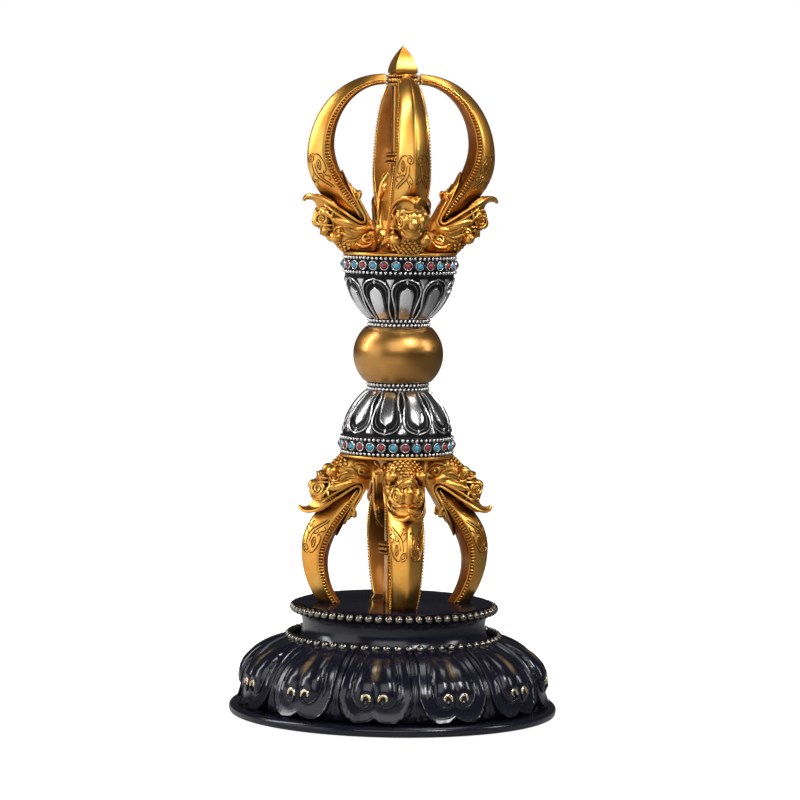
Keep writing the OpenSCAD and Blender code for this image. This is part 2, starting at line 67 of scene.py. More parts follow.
# Heights that the frame gives
FOOT_LOW = node_box("foot_plate")[0].z
FOOT_TOP = node_box("lotus_body")[0].z
DISC_TOP = node_box("socket_tube")[1].z
LOW_PLATE = node_box("lower_crown_plate")[0].z
HIGH_PLATE = node_box("upper_crown_plate")[1].z
BALL_LOW, BALL_HIGH = (corner.z for corner in node_box("ball"))
BALL_MIDDLE = 0.5 * (BALL_LOW + BALL_HIGH)
CROWN_TOP = node_box("finial")[0].z
FINIAL_TOP = node_box("finial")[1].z
FOOT_R = node_box("foot_plate")[1].x
DISC_Z = node_box("neck_ring")[1].z
LOTUS_TOP = node_box("lotus_body")[1].z
LOTUS_H = LOTUS_TOP - FOOT_TOP
CROWN_H = CROWN_TOP - HIGH_PLATE
LOW_CROWN_H = LOW_PLATE - DISC_TOP


# Settings

def size(name, words, millimetres):
    return bpy.props.FloatProperty(
        name=name, description=words, default=millimetres * MM, min=0.0, unit="LENGTH", precision=5
    )


def tint(name, words, rgb):
    return bpy.props.FloatVectorProperty(
        name=name, description=words, default=rgb, min=0.0, max=1.0, size=3, subtype="COLOR"
    )


class VajraSizes(bpy.types.PropertyGroup):
    """Sizes of the modelled pieces."""

    crown_radius: size("Crown radius", "Radius of a crown over the ridges of its prongs", 29.7)
    prong_depth: size("Prong depth", "Depth of a prong at the bulge, from ridge to back", 8.2)
    prong_half_width: size("Prong half width", "Half the width of a prong at the bulge", 5.4)
    ladder_pitch: size("Ladder pitch", "Distance between the little bars along a prong's corners", 0.95)
    scroll_wire: size("Scroll line", "Radius of the scroll lines on a prong's flanks", 0.13)
    mouth_wire: size("Mouth line", "Radius of the raised line round a makara's mouth", 0.42)
    mane_stud: size("Mane stud", "Radius of the round studs of a makara's mane", 0.62)
    stand_bead: size("Stand bead", "Radius of the beads on the disc and the lotus", 1.4)
    collar_bead: size("Collar bead", "Radius of the beads on the two collars", 0.6)
    band_bead: size("Band bead", "Radius of the beads along the gem bands", 0.56)
    cup_line: size("Cup line", "Radius of the bright line round a cup petal", 0.26)
    bezel_radius: size("Bezel radius", "Outer radius of a stone's bezel", 1.45)
    stone_radius: size("Stone radius", "Radius of a stone", 1.1)


class VajraTints(bpy.types.PropertyGroup):
    """Colours of the finishes."""

    gilt: tint("Gilding", "Bright colour of the fire gilding", (1.0, 0.59, 0.13))
    gilt_deep: tint("Deep gilding", "Redder colour where the gilding is thin", (0.93, 0.37, 0.045))
    # Dark red brown of the recesses: painted shade, together with grime.
    gilt_grime: tint("Gilding in recesses", "Dark red brown left in the recesses", (0.11, 0.023, 0.004))
    # Dull red brown of the faces turned to the axis: painted shade, together with patina.
    gilt_inside: tint("Gilding inside", "Dull red brown of the faces turned to the axis", (0.64, 0.24, 0.04))
    bead_bronze: tint("Bead bronze", "Dark bronze of the beads on the stand", (0.36, 0.33, 0.28))
    bronze: tint("Brushed bronze", "Colour of the brushed ball", (0.76, 0.37, 0.085))
    silver: tint("Bright silver", "Colour of the polished silver", (0.84, 0.84, 0.83))
    silver_black: tint("Black silver", "Colour of the oxidised silver", (0.0035, 0.0035, 0.004))
    lacquer: tint("Lacquer", "Blue black of the lacquered stand", (0.0065, 0.0065, 0.013))
    hook_gilt: tint("Hook gilding", "Pale gold of the curled ends on the lotus petals", (0.95, 0.85, 0.6))
    rubbed: tint("Rubbed lacquer", "Brown gold where the lacquer is rubbed through", (0.62, 0.42, 0.18))
    turquoise: tint("Turquoise", "Colour of the blue stones", (0.02, 0.20, 0.31))
    coral: tint("Coral", "Colour of the red stones", (0.18, 0.003, 0.008))
    felt: tint("Felt", "Colour of the pad under the foot", (0.035, 0.035, 0.04))
    brass: tint("Brass", "Colour of the turned brass inside", (0.78, 0.55, 0.24))
    steel: tint("Steel", "Colour of the tie rod, washer and nut", (0.56, 0.57, 0.58))


def sizes():
    return bpy.context.scene.vajra_sizes


def tints():
    return bpy.context.scene.vajra_tints


# Small geometry helpers

def cubic(points, t):
    """Point at t of a cubic curve, for vectors or plain numbers."""
    s = 1 - t
    return points[0] * s**3 + points[1] * (3 * s * s * t) + points[2] * (3 * s * t * t) + points[3] * t**3


def shares(count):
    return [i / (count - 1) for i in range(count)]


def blend(a, b, t):
    return a + (b - a) * t


def eased(low, high, value):
    """Smooth step from 0 at low to 1 at high."""
    t = min(max((value - low) / (high - low), 0.0), 1.0)
    return t * t * (3 - 2 * t)


def table(pairs, value):
    """Value read off a list of pairs, straight between them."""
    if value <= pairs[0][0]:
        return pairs[0][1]
    for (x0, y0), (x1, y1) in zip(pairs, pairs[1:]):
        if value <= x1:
            return blend(y0, y1, (value - x0) / (x1 - x0))
    return pairs[-1][1]


def smooth_path(points, steps=6):
    """A path of the given points with a rounded run between them."""
    points = [Vector(p) for p in points]
    path = []
    for i in range(len(points) - 1):
        before = points[max(i - 1, 0)]
        after = points[min(i + 2, len(points) - 1)]
        a, b = points[i], points[i + 1]
        bend = (a, a + (b - before) / 6, b - (after - a) / 6, b)
        path += [cubic(bend, j / steps) for j in range(steps)]
    return path + [points[-1]]


def rounded(points, radius, steps=4):
    """A profile with its inner corners rounded."""
    points = [Vector(p) for p in points]
    path = [points[0]]
    for a, b, c in zip(points, points[1:], points[2:]):
        reach = min(radius, 0.48 * (a - b).length, 0.48 * (c - b).length)
        start = b + (a - b).normalized() * reach
        end = b + (c - b).normalized() * reach
        path += [start * (1 - t) ** 2 + b * (2 * t * (1 - t)) + end * t * t for t in shares(steps + 1)]
    return path + [points[-1]]


def spiral(centre, start_radius, end_radius, start_angle, turns, steps=40):
    """Points of a flat spiral about a centre."""
    points = []
    for t in shares(steps):
        radius = blend(start_radius, end_radius, t)
        angle = start_angle + turns * TURN * t
        points.append(Vector((centre[0] + radius * math.cos(angle), centre[1] + radius * math.sin(angle))))
    return points


def placed(angle, radius, z, lean=0.0):
    """Place on a ring about the axis, its own +X pointing outwards."""
    return (Matrix.Rotation(angle, 4, "Z") @ Matrix.Translation((radius, 0, z))
            @ Matrix.Rotation(lean, 4, "Y"))


def scaled(x, y, z):
    return Matrix.Diagonal((x, y, z, 1))


# A shape as it is drawn, and its mirror image across the XZ plane, in which prongs and heads are drawn
BOTH_SIDES = (Matrix(), scaled(1, -1, 1))


def mirrored(points):
    """Points in reverse order, mirrored across the XZ plane."""
    return [Vector((p.x, -p.y, p.z)) for p in reversed(points)]


def bell(off, width):
    """Height of a soft ridge: 1 at its middle, falling off over its width."""
    return math.exp(-((off / width) ** 2))


# Shapes, each a mesh in millimetres

def shape_of(bm):
    bmesh.ops.recalc_face_normals(bm, faces=bm.faces)
    mesh = bpy.data.meshes.new("shape")
    bm.to_mesh(mesh)
    bm.free()
    return mesh


def spin_profile(bm, profile, segments, closed):
    verts = [bm.verts.new((p[0], 0, p[1])) for p in profile]
    edges = [bm.edges.new(pair) for pair in zip(verts, verts[1:])]
    if closed:
        edges.append(bm.edges.new((verts[-1], verts[0])))
    bmesh.ops.spin(bm, geom=verts + edges, cent=(0, 0, 0), axis=(0, 0, 1), dvec=(0, 0, 0),
                   angle=TURN, steps=segments, use_merge=True)


def turned(profile, segments=128):
    """A closed body turned from a profile of radius and height."""
    bm = bmesh.new()
    spin_profile(bm, profile, segments, max(profile[0][0], profile[-1][0]) > 0.001)
    bmesh.ops.remove_doubles(bm, verts=bm.verts, dist=0.0005)
    return shape_of(bm)


def lofted(rings):
    """A closed body drawn over rings of points, with a face on both ends."""
    bm = bmesh.new()
    first = [bm.verts.new(p) for p in rings[0]]
    face = bm.faces.new(first)
    for ring in rings[1:]:
        face = bmesh.ops.extrude_discrete_faces(bm, faces=[face])["faces"][0]
        for vert, point in zip(face.verts, ring):
            vert.co = point
    bm.faces.new(first)
    return shape_of(bm)


def wire(path, radius, taper=None, sides=2, closed=False):
    """A round wire along a path; taper gives the share of the radius at each point."""
    curve = bpy.data.curves.new("wire", "CURVE")
    curve.dimensions = "3D"
    curve.bevel_depth = radius
    curve.bevel_resolution = sides
    curve.use_fill_caps = not closed
    spline = curve.splines.new("POLY")
    spline.points.add(len(path) - 1)
    spline.use_cyclic_u = closed
    for i, point in enumerate(path):
        spline.points[i].co = (*point, 1)
        spline.points[i].radius = taper(i / (len(path) - 1)) if taper else 1.0
    holder = bpy.data.objects.new("wire", curve)
    mesh = bpy.data.meshes.new_from_object(holder)
    bpy.data.objects.remove(holder)
    bpy.data.curves.remove(curve)
    bm = bmesh.new()
    bm.from_mesh(mesh)
    bpy.data.meshes.remove(mesh)
    bmesh.ops.remove_doubles(bm, verts=bm.verts, dist=0.0005)
    return shape_of(bm)


def thin_ends(share):
    """Taper of a wire that runs thin at both ends."""
    return lambda t: 0.25 + 0.75 * min(1.0, t / share, (1 - t) / share)


def ball(radius, segments=16, rings=10):
    bm = bmesh.new()
    bmesh.ops.create_uvsphere(bm, u_segments=segments, v_segments=rings, radius=radius)
    return shape_of(bm)


def eased_block(x, y, z, edge):
    """A block with its edges taken off."""
    bm = bmesh.new()
    bmesh.ops.create_cube(bm, size=1.0, matrix=scaled(x, y, z))
    bmesh.ops.bevel(bm, geom=bm.edges[:], offset=edge, affect="EDGES", segments=1, profile=0.5, material=-1)
    return shape_of(bm)


def relief(columns, rows, surface):
    """A carved panel: a grid laid on a surface and closed underneath."""
    bm = bmesh.new()
    bmesh.ops.create_grid(bm, x_segments=columns, y_segments=rows, size=1.0)
    for vert in bm.verts:
        vert.co = surface(vert.co.x, 0.5 + 0.5 * vert.co.y)
    rim = [edge for edge in bm.edges if edge.is_boundary]
    bmesh.ops.holes_fill(bm, edges=rim, sides=0)
    return shape_of(bm)


def blended(meshes, voxel, smoothing):
    """One skin over meshes that run into each other, as clay is blended."""
    joint = bmesh.new()
    for mesh in meshes:
        joint.from_mesh(mesh)
    body = bpy.data.meshes.new("clay")
    joint.to_mesh(body)
    joint.free()
    holder = bpy.data.objects.new("clay", body)
    bpy.context.scene.collection.objects.link(holder)
    skin = holder.modifiers.new("skin", "REMESH")
    skin.mode = "VOXEL"
    skin.voxel_size = voxel
    soft = holder.modifiers.new("soft", "SMOOTH")
    soft.factor = 0.5
    soft.iterations = smoothing
    depsgraph = bpy.context.evaluated_depsgraph_get()
    mesh = bpy.data.meshes.new_from_object(holder.evaluated_get(depsgraph))
    bpy.data.objects.remove(holder)
    return mesh


class Workpiece:
    """A piece put together from shapes, each in one of its finishes."""

    def __init__(self):
        self.bm = bmesh.new()
        self.finishes = []

    def add(self, mesh, finish, places=(Matrix(),)):
        if finish not in self.finishes:
            self.finishes.append(finish)
        slot = self.finishes.index(finish)
        for place in places:
            copy = mesh.copy()
            copy.transform(place)
            if place.determinant() < 0:
                copy.flip_normals()
            copy.polygons.foreach_set("material_index", [slot] * len(copy.polygons))
            self.bm.from_mesh(copy)
            bpy.data.meshes.remove(copy)
        bpy.data.meshes.remove(mesh)

    def mesh(self):
        mesh = bpy.data.meshes.new("work")
        self.bm.to_mesh(mesh)
        self.bm.free()
        return mesh


def set_in_place(mesh, name, body, finishes, nodes, sharp=38.0):
    """Turns a finished mesh into a piece that rides on a body and stands for CAD nodes."""
    mesh.transform(Matrix.Scale(MM, 4))
    for finish in finishes:
        mesh.materials.append(FINISHES[finish]())
    mesh.shade_smooth()
    mesh.set_sharp_from_angle(angle=math.radians(sharp))
    mesh.name = name
    piece = bpy.data.objects.new(name, mesh)
    bpy.context.scene.collection.objects.link(piece)
    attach(piece, body)
    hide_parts(*nodes)
    return piece


def finish_piece(work, name, body, nodes, sharp=38.0):
    return set_in_place(work.mesh(), name, body, work.finishes, nodes, sharp)


# Shared effects of the finishes

def add_node(tree, kind, inputs=None, **settings):
    node = tree.nodes.new(kind)
    for key, value in settings.items():
        setattr(node, key, value)
    for key, value in (inputs or {}).items():
        if isinstance(value, bpy.types.NodeSocket):
            tree.links.new(value, node.inputs[key])
        else:
            node.inputs[key].default_value = value
    return node


def value_math(tree, operation, a, b, clamp=False):
    return add_node(tree, "ShaderNodeMath", {0: a, 1: b}, operation=operation, use_clamp=clamp).outputs[0]


def span(tree, value, low, high, to_low, to_high):
    """Carries a value from one range to another, held at its ends."""
    return add_node(tree, "ShaderNodeMapRange", {
        "Value": value, "From Min": low, "From Max": high, "To Min": to_low, "To Max": to_high,
    }).outputs["Result"]


def mixed(tree, share, a, b):
    return add_node(tree, "ShaderNodeMix", {0: share, 6: a, 7: b}, data_type="RGBA").outputs[2]


def object_vector(tree):
    return add_node(tree, "ShaderNodeTexCoord").outputs["Object"]


def object_axes(tree):
    """X, Y and Z of a place on the piece."""
    return add_node(tree, "ShaderNodeSeparateXYZ", {"Vector": object_vector(tree)}).outputs


def noise(tree, vector, scale, detail, rough=0.5):
    return add_node(tree, "ShaderNodeTexNoise", {
        "Vector": vector, "Scale": scale, "Detail": detail, "Roughness": rough,
    }).outputs["Fac"]


def effect(name, takes, gives, build):
    """Shader group of a shared effect, made once."""
    group = bpy.data.node_groups.get(name)
    if group is None:
        group = bpy.data.node_groups.new(name, "ShaderNodeTree")
        for label, default in takes:
            socket = group.interface.new_socket(name=label, in_out="INPUT", socket_type="NodeSocketFloat")
            socket.default_value = default
        for label in gives:
            group.interface.new_socket(name=label, in_out="OUTPUT", socket_type="NodeSocketFloat")
        taken = group.nodes.new("NodeGroupInput")
        given = group.nodes.new("NodeGroupOutput")
        for label, socket in build(group, taken.outputs).items():
            group.links.new(socket, given.inputs[label])
    return group


def build_recesses(tree, taken):
    shade = add_node(tree, "ShaderNodeAmbientOcclusion", {"Distance": taken["Reach"]}, samples=8)
    deep = span(tree, shade.outputs["AO"], taken["Deep"], taken["Open"], 1.0, 0.0)
    uneven = span(tree, noise(tree, object_vector(tree), 420.0, 4.0), 0.3, 0.7, 0.75, 1.2)
    return {"Shade and grime": value_math(tree, "MULTIPLY", deep, uneven, clamp=True)}


def recesses():
    """Mask of the recesses, where a finish is painted darker as painted shade, along with the grime and old
    finish that stay there.
    """
    return effect("Recess shade and grime", [("Reach", 0.002), ("Deep", 0.2), ("Open", 0.8)], ["Shade and grime"], build_recesses)


def build_rubbing(tree, taken):
    thin = add_node(tree, "ShaderNodeAmbientOcclusion", {"Distance": taken["Reach"]}, samples=8, inside=True)
    edge = span(tree, thin.outputs["AO"], taken["Worn"], taken["Whole"], 1.0, 0.0)
    patch = span(tree, noise(tree, object_vector(tree), 260.0, 5.0), 0.38, 0.66, 0.0, 1.0)
    return {"Wear and highlight": value_math(tree, "MULTIPLY", edge, patch, clamp=True)}


def rubbing():
    """Mask of the proud edges, where handling rubs a finish off and which are painted brighter as a painted
    highlight.
    """
    return effect("Edge wear and highlight", [("Reach", 0.001), ("Worn", 0.35), ("Whole", 0.75)], ["Wear and highlight"], build_rubbing)


def build_casting(tree, taken):
    place = object_vector(tree)
    broad = noise(tree, place, taken["Scale"], 4.0, 0.6)
    fine = noise(tree, place, value_math(tree, "MULTIPLY", taken["Scale"], 9.0), 3.0)
    return {"Mottle": span(tree, broad, 0.3, 0.7, 0.0, 1.0), "Grain": fine}


def casting():
    """Cloudy colour and fine grain of a cast and chased surface."""
    return effect("Casting", [("Scale", 150.0)], ["Mottle", "Grain"], build_casting)


def build_brushing(tree, taken):
    squeeze = add_node(tree, "ShaderNodeMapping", {
        "Vector": object_vector(tree), "Scale": (40.0, 40.0, 5200.0),
    })
    lines = noise(tree, squeeze.outputs["Vector"], 1.0, 3.0)
    return {"Line": span(tree, lines, taken["Low"], taken["High"], 0.0, 1.0)}


def brushing():
    """Fine level lines left by turning and brushing on a lathe."""
    return effect("Brushing", [("Low", 0.3), ("High", 0.7)], ["Line"], build_brushing)


def build_patches(tree, taken):
    spot = object_axes(tree)
    turn = value_math(tree, "SUBTRACT", value_math(tree, "ARCTAN2", spot["Y"], spot["X"]), FRONT)
    share = value_math(tree, "FRACT", value_math(tree, "DIVIDE", turn, TURN / LOTUS_PETALS), 0.0)
    off = value_math(tree, "ABSOLUTE", value_math(tree, "SUBTRACT", share, 0.5), 0.0)
    middle = span(tree, off, 0.01, 0.065, 1.0, 0.0)
    rise = span(tree, spot["Z"], taken["Low"], taken["Middle"], 0.0, 1.0)
    fall = span(tree, spot["Z"], taken["Middle"], taken["High"], 1.0, 0.0)
    uneven = span(tree, noise(tree, object_vector(tree), 330.0, 4.0), 0.32, 0.62, 0.15, 1.0)
    patch = value_math(tree, "MULTIPLY", middle, value_math(tree, "MULTIPLY", rise, fall))
    return {"Patch": value_math(tree, "MULTIPLY", patch, uneven, clamp=True)}


def patches():
    """Mask of the worn patch high on the middle of each lotus petal."""
    takes = [("Low", 0.0165), ("Middle", 0.0195), ("High", 0.0226)]
    return effect("Worn patches", takes, ["Patch"], build_patches)


class Finish:
    """A material in the making: its shader, its effects and its colours."""

    def __init__(self, name, **shader):
        self.material = bpy.data.materials.new(name)
        self.material.use_nodes = True
        self.tree = self.material.node_tree
        self.shader = self.tree.nodes["Principled BSDF"]
        for label, value in shader.items():
            self.shader.inputs[label.replace("_", " ")].default_value = value

    def use(self, group, **values):
        node = add_node(self.tree, "ShaderNodeGroup", node_tree=group)
        for label, value in values.items():
            node.inputs[label].default_value = value
        return node.outputs

    def feed(self, label, socket):
        self.tree.links.new(socket, self.shader.inputs[label])

    def mix(self, share, a, b):
        return mixed(self.tree, share, a, b)

    def between(self, share, low, high):
        """Value that goes from low to high as the share goes from 0 to 1."""
        return span(self.tree, share, 0.0, 1.0, low, high)

    def bump(self, height, strength, distance):
        bump = add_node(self.tree, "ShaderNodeBump", {
            "Height": height, "Strength": strength, "Distance": distance,
        })
        self.feed("Normal", bump.outputs["Normal"])

    def cast_surface(self, cast, rough, strength, distance):
        """Ends a finish whose roughness and bump follow a casting."""
        self.feed("Roughness", self.between(cast["Mottle"], *rough))
        self.bump(cast["Grain"], strength, distance)
        return self.material

    def brushed_surface(self, line, rough, strength, distance):
        """Ends a finish whose roughness and bump follow brushed lines."""
        self.feed("Roughness", self.between(line, *rough))
        self.bump(line, strength, distance)
        return self.material


def opaque(rgb, share=1.0):
    """Colour with full cover, dimmed to a share of its brightness."""
    return (*(share * c for c in rgb), 1.0)


# Finishes

FINISHES = {}


def listed(build):
    """Lists a finish under its name, to be made the first time it is asked for."""
    label = build.__name__ + "_finish"
    FINISHES[build.__name__] = lambda: bpy.data.materials.get(label) or build(label)
    return build


def gilding(name, reach, rough, bright, deep):
    """Gilding painted dark red brown in its recesses as painted shade and grime, the recesses being looked
    for within a reach in metres.
    """
    finish = Finish(name, Metallic=1.0, Coat_Weight=0.3, Coat_Roughness=0.2)
    cast = finish.use(casting(), Scale=130.0)
    shaded_recess = finish.use(recesses(), Reach=reach, Deep=0.3, Open=0.94)["Shade and grime"]
    gold = finish.mix(cast["Mottle"], bright, deep)
    # The recesses get the dark red brown: painted shade, together with grime.
    finish.feed("Base Color", finish.mix(shaded_recess, gold, opaque(tints().gilt_grime)))
    clean = finish.between(cast["Mottle"], *rough)
    grime = finish.between(shaded_recess, 0.0, 0.22)
    finish.feed("Roughness", value_math(finish.tree, "ADD", clean, grime))
    finish.bump(cast["Grain"], 0.12, 0.0002)
    return finish.material


@listed
def antique_gilt(name):
    return gilding(name, 0.0028, (0.28, 0.38), opaque(tints().gilt), opaque(tints().gilt_deep))


@listed
def polished_gilt(name):
    return gilding(name, 0.0006, (0.24, 0.36), opaque(tints().gilt), opaque(tints().gilt_deep))


# Gilding painted a dull red brown as shade and patina: on faces turned to the axis, between the ladder's bars
# and on the knots' rings.
@listed
def inner_gilt(name):
    dull = tints().gilt_inside
    return gilding(name, 0.002, (0.35, 0.5), opaque(dull), opaque(dull, 0.6))


# Dark dull gilding that paints the shade in an engraved groove, together with some patina.
@listed
def engraving(name):
    finish = Finish(name, Metallic=0.8)
    cast = finish.use(casting(), Scale=400.0)
    dull = tints().gilt_inside
    finish.feed("Base Color", finish.mix(cast["Mottle"], opaque(dull, 0.27), opaque(dull, 0.13)))
    return finish.cast_surface(cast, (0.45, 0.65), 0.1, 0.0001)


@listed
def bead_bronze(name):
    finish = Finish(name, Metallic=1.0)
    cast = finish.use(casting(), Scale=300.0)
    shaded_recess = finish.use(recesses(), Reach=0.0018, Deep=0.3, Open=0.9)["Shade and grime"]
    bronze = tints().bead_bronze
    body = finish.mix(cast["Mottle"], opaque(bronze), opaque(bronze, 0.4))
    # Recesses are painted towards the lacquer's black as painted shade.
    finish.feed("Base Color", finish.mix(shaded_recess, body, opaque(tints().lacquer)))
    return finish.cast_surface(cast, (0.16, 0.28), 0.08, 0.0001)


@listed
def hook_gilt(name):
    finish = Finish(name, Coat_Weight=0.5, Coat_Roughness=0.08)
    cast = finish.use(casting(), Scale=420.0)
    rub = span(finish.tree, cast["Mottle"], 0.35, 0.9, 1.0, 0.0)
    finish.feed("Base Color", finish.mix(rub, opaque(tints().rubbed), opaque(tints().hook_gilt)))
    finish.feed("Metallic", finish.between(rub, 0.8, 1.0))
    return finish.cast_surface(cast, (0.18, 0.3), 0.08, 0.0001)


@listed
def brushed_gilt(name):
    finish = Finish(name, Metallic=1.0, Anisotropic=0.45, Coat_Weight=0.4, Coat_Roughness=0.2)
    line = finish.use(brushing(), Low=0.25, High=0.75)["Line"]
    cast = finish.use(casting(), Scale=60.0)
    deep = opaque(tints().bronze, 0.6)
    body = finish.mix(cast["Mottle"], opaque(tints().bronze), deep)
    finish.feed("Base Color", finish.mix(finish.between(line, 0.0, 0.6), body, deep))
    return finish.brushed_surface(line, (0.27, 0.38), 0.18, 0.00006)


@listed
def black_silver(name):
    finish = Finish(name, Specular_IOR_Level=0.12)
    cast = finish.use(casting(), Scale=260.0)
    worn = finish.use(rubbing(), Reach=0.0006, Worn=0.3, Whole=0.7)["Wear and highlight"]
    # Proud edges are painted bright silver, as wear and as a painted highlight.
    finish.feed("Base Color", finish.mix(worn, opaque(tints().silver_black), opaque(tints().silver, 0.35)))
    finish.feed("Metallic", finish.between(worn, 0.0, 1.0))
    return finish.cast_surface(cast, (0.34, 0.52), 0.25, 0.0002)


@listed
def bright_silver(name):
    finish = Finish(name, Metallic=1.0)
    cast = finish.use(casting(), Scale=320.0)
    shaded_recess = finish.use(recesses(), Reach=0.0007, Deep=0.25, Open=0.7)["Shade and grime"]
    body = finish.mix(cast["Mottle"], opaque(tints().silver), opaque(tints().silver, 0.86))
    # Recesses are painted black as painted shade, together with oxide.
    finish.feed("Base Color", finish.mix(shaded_recess, body, opaque(tints().silver_black)))
    return finish.cast_surface(cast, (0.17, 0.27), 0.06, 0.0002)


def lacquering(name, worn):
    """Black lacquer, with worn patches on the lotus petals."""
    finish = Finish(name, Coat_Weight=0.72, Coat_Roughness=0.17, Specular_IOR_Level=0.12,
                    Specular_Tint=(0.72, 0.78, 1.0, 1.0))
    cast = finish.use(casting(), Scale=90.0)
    body = finish.mix(cast["Mottle"], opaque(tints().lacquer), opaque(tints().lacquer, 0.6))
    if worn:
        patch = finish.use(patches())["Patch"]
        body = finish.mix(finish.between(patch, 0.0, 0.5), body, opaque(tints().rubbed))
        finish.feed("Metallic", finish.between(patch, 0.0, 0.6))
    finish.feed("Base Color", body)
    return finish.cast_surface(cast, (0.2, 0.32), 0.04, 0.0002)


@listed
def black_lacquer(name):
    return lacquering(name, worn=False)


@listed
def lotus_lacquer(name):
    return lacquering(name, worn=True)


@listed
def polished_black(name):
    finish = Finish(name, Coat_Weight=0.085, Coat_Roughness=0.03, Coat_IOR=1.35, Specular_IOR_Level=0.03)
    cast = finish.use(casting(), Scale=70.0)
    black = tints().lacquer
    finish.feed("Base Color", finish.mix(cast["Mottle"], opaque(black), opaque(black, 0.6)))
    return finish.cast_surface(cast, (0.06, 0.12), 0.02, 0.0001)


def cabochon(name, rgb, vein, vein_share):
    """Polished stone with lighter clouds and thin veins."""
    finish = Finish(name, Coat_Weight=0.4, Coat_Roughness=0.12)
    cast = finish.use(casting(), Scale=700.0)
    light = tuple(min(1.0, 1.35 * c + 0.02) for c in rgb)
    body = finish.mix(cast["Mottle"], opaque(rgb), opaque(light))
    streak = span(finish.tree, cast["Grain"], 0.58, 0.72, 0.0, vein_share)
    finish.feed("Base Color", finish.mix(streak, body, opaque(vein)))
    return finish.cast_surface(cast, (0.2, 0.32), 0.05, 0.0001)


@listed
def turquoise(name):
    return cabochon(name, tints().turquoise, (0.03, 0.10, 0.11), 0.5)


@listed
def coral(name):
    return cabochon(name, tints().coral, (0.12, 0.003, 0.006), 0.4)


def plain_metal(name, rgb):
    """Turned metal without a patina."""
    finish = Finish(name, Metallic=1.0)
    line = finish.use(brushing(), Low=0.3, High=0.7)["Line"]
    cast = finish.use(casting(), Scale=180.0)
    finish.feed("Base Color", finish.mix(cast["Mottle"], opaque(rgb), opaque(rgb, 0.7)))
    return finish.brushed_surface(line, (0.24, 0.4), 0.1, 0.00005)


@listed
def turned_brass(name):
    return plain_metal(name, tints().brass)


@listed
def steel(name):
    return plain_metal(name, tints().steel)


@listed
def felt(name):
    finish = Finish(name, Sheen_Weight=0.4, Sheen_Roughness=0.5)
    cast = finish.use(casting(), Scale=500.0)
    finish.feed("Base Color", finish.mix(cast["Mottle"], opaque(tints().felt), opaque(tints().felt, 0.55)))
    return finish.cast_surface(cast, (0.85, 0.98), 0.6, 0.0006)


# The stage

CAMERA_TURN = math.radians(-8.5)
CAMERA_DISTANCE = 1.1
CAMERA_HEIGHT = 0.1785
CAMERA_LENS = 158.5
SENSOR_WIDTH = 36.0
CAMERA_ROLL = math.radians(0.95)
AIM_HEIGHT = 0.0986
AIM_RIGHT = 0.0008
WALL_LOW = (0.03, 0.03, 0.033)
WALL_HIGH = (0.04, 0.04, 0.045)
# Floor as polished metal mirrors it: painted light on the left, painted shade on the right.
MIRRORED_LEFT = (0.6, 0.6, 0.61)
MIRRORED_RIGHT = (0.1, 0.1, 0.102)
MIRRORED_SPAN = (-0.14, 0.16)
FLOOR_SIZE = 6.0
FLOOR_SHADES = ((0.62, 0.62, 0.62), (0.6, 0.6, 0.6))
FLOOR_GLOW = 0.88
WORLD_FILL = 0.45
WALL_PROFILE = [(2.4, -0.2), (2.4, 1.5), (1.9, 2.2), (1.0, 2.6), (0.0, 2.7)]
WALL_FADE = 2.4
LIT_PLACE = (0, 0, 0.1)

# Name, place, width, height and power of each lamp
SOFTBOXES = (
    ("left", (-0.9, 0.2, 0.6), 0.2, 0.8, 5.0),
    ("front", (0.42, -0.78, 0.85), 0.22, 0.3, 6.0),
    ("left_panel", (-1.3, -0.45, 0.32), 0.9, 0.9, 3.4),
    ("front_panel", (-0.3, -1.3, 0.85), 1.1, 0.8, 6.0),
    ("right_panel", (0.97, -0.28, 0.55), 0.16, 0.4, 2.2),
    ("top", (0.4, 0.0, 1.4), 0.5, 0.5, 3.0),
)


def add_camera():
    data = bpy.data.cameras.new("camera")
    data.lens = CAMERA_LENS
    data.sensor_width = SENSOR_WIDTH
    data.sensor_fit = "HORIZONTAL"
    data.clip_start = 0.01
    camera = bpy.data.objects.new("camera", data)
    away = Vector((math.sin(CAMERA_TURN), -math.cos(CAMERA_TURN), 0))
    right = Vector((math.cos(CAMERA_TURN), math.sin(CAMERA_TURN), 0))
    camera.location = away * CAMERA_DISTANCE + Vector((0, 0, CAMERA_HEIGHT))
    aim = Vector((0, 0, AIM_HEIGHT)) + right * AIM_RIGHT
    look = (aim - camera.location).to_track_quat("-Z", "Y").to_matrix().to_4x4()
    camera.rotation_euler = (look @ Matrix.Rotation(CAMERA_ROLL, 4, "Z")).to_euler()
    bpy.context.scene.collection.objects.link(camera)
    bpy.context.scene.camera = camera


def add_softbox(name, place, width, height, power):
    data = bpy.data.lights.new(name, "AREA")
    data.shape = "RECTANGLE"
    data.size = width
    data.size_y = height
    data.energy = power
    lamp = bpy.data.objects.new(name, data)
    lamp.location = place
    lamp.rotation_euler = (Vector(LIT_PLACE) - lamp.location).to_track_quat("-Z", "Y").to_euler()
    bpy.context.scene.collection.objects.link(lamp)


def add_studio_wall():
    """A dim round wall out of view, which gives polished metal something dark to reflect."""
    bm = bmesh.new()
    spin_profile(bm, rounded(WALL_PROFILE, 0.4), 48, closed=False)
    mesh = shape_of(bm)
    wall = bpy.data.objects.new("studio_wall", mesh)
    finish = Finish("studio_grey", Base_Color=(0, 0, 0, 1), Roughness=1.0, Emission_Strength=1.0)
    share = span(finish.tree, object_axes(finish.tree)["Z"], 0.0, WALL_FADE, 0.0, 1.0)
    finish.feed("Emission Color", finish.mix(share, opaque(WALL_LOW), opaque(WALL_HIGH)))
    mesh.materials.append(finish.material)
    wall.visible_camera = False
    wall.visible_diffuse = False
    wall.visible_shadow = False
    wall.visible_transmission = False
    bpy.context.scene.collection.objects.link(wall)


